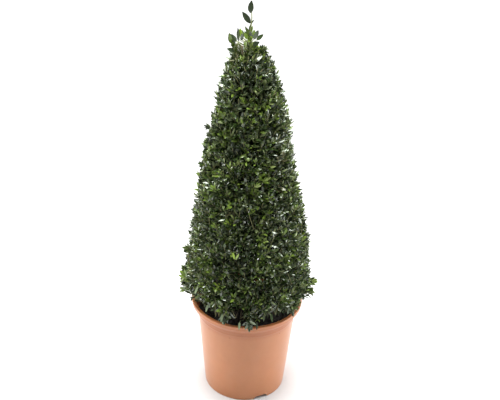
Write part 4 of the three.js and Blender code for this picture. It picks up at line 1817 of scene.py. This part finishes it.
@dataclass
class Studio:
    """Pale floor, soft light from the sides and above, and the camera."""

    camera_place: tuple[float, float, float] = (-0.00076, -1.5622, 1.2672)
    camera_down: float = 28.08
    camera_roll: float = 2.0
    lens: float = 64.8
    sensor: float = 36.0
    floor_half: float = 14.0
    floor_gap: float = 0.0002
    sky: float = 0.30

    def build(self) -> None:
        """Builds floor, lights, world and camera."""
        self.build_floor()
        self.build_world()
        self.softbox("softbox_left", (-1.8, 0.15, 1.0), (0.75, 1.6), 35.0)
        self.softbox("softbox_right", (1.8, 0.15, 1.0), (0.75, 1.6), 37.0)
        self.softbox("softbox_key", (-0.1, -0.1, 2.7), (1.6, 1.6), 124.0)
        self.softbox("softbox_back", (0.0, 3.8, 2.6), (6.5, 3.4), 260.0)
        self.build_camera()

    def build_floor(self) -> None:
        """A wide flat floor, which isn't part of the object."""
        half = self.floor_half
        mesh = bpy.data.meshes.new("studio_floor")
        low = -self.floor_gap
        corners = [(-half, -half, low), (half, -half, low), (half, half, low), (-half, half, low)]
        mesh.from_pydata(corners, [], [(0, 1, 2, 3)])
        sheet = NodeSheet("pale_floor")
        tint = sheet.noise(sheet.place(), 3.0, 2.0)
        sheet.join(sheet.ramp(tint, [(0.3, (0.61, 0.61, 0.61)), (0.7, (0.64, 0.64, 0.64))]),
                   sheet.shader.inputs["Base Color"])
        sheet.set(Roughness=0.9, Specular_IOR_Level=0.1)
        mesh.materials.append(sheet.material)
        floor = bpy.data.objects.new("studio_floor", mesh)
        bpy.context.scene.collection.objects.link(floor)

    def build_world(self) -> None:
        """An even white surrounding light."""
        world = bpy.data.worlds.new("studio_surround")
        world.use_nodes = True
        background = world.node_tree.nodes["Background"]
        background.inputs["Color"].default_value = (1.0, 1.0, 1.0, 1.0)
        background.inputs["Strength"].default_value = self.sky
        bpy.context.scene.world = world
        bpy.context.scene.view_settings.view_transform = "Standard"

    def softbox(self, name: str, place: tuple, size: tuple, power: float) -> None:
        """An area light of a size that looks at the plant's middle.

        Args:
            name: the light's name.
            place: where it stands.
            size: its width and height.
            power: its power in watts.
        """
        light = bpy.data.lights.new(name, "AREA")
        light.shape = "RECTANGLE"
        light.size, light.size_y = size
        light.energy = power
        lamp = bpy.data.objects.new(name, light)
        lamp.location = place
        lamp.visible_camera = False
        lamp.rotation_euler = (Vector((0.0, 0.0, 0.4)) - Vector(place)).to_track_quat("-Z", "Y").to_euler()
        bpy.context.scene.collection.objects.link(lamp)

    def build_camera(self) -> None:
        """The camera in front of the plant, above it and looking down, with a slight roll."""
        camera = bpy.data.cameras.new("camera")
        camera.lens = self.lens
        camera.sensor_width = self.sensor
        holder = bpy.data.objects.new("camera", camera)
        tilt = Matrix.Rotation(math.radians(90.0 - self.camera_down), 4, "X")
        roll = Matrix.Rotation(math.radians(self.camera_roll), 4, "Z")
        holder.matrix_world = Matrix.Translation(self.camera_place) @ tilt @ roll
        bpy.context.scene.collection.objects.link(holder)
        bpy.context.scene.camera = holder


def main() -> None:
    """Builds the potted plant and its studio, part by part."""
    Studio().build()
    pot = Pot()
    pot.build()
    Compost(pot).build()
    builder = LeafBuilder()
    crown = Crown(builder, pot)
    crown.build()
    Tufts(builder, crown).build()
    Leader(builder, crown).build()


if __name__ == "__main__":
    main()
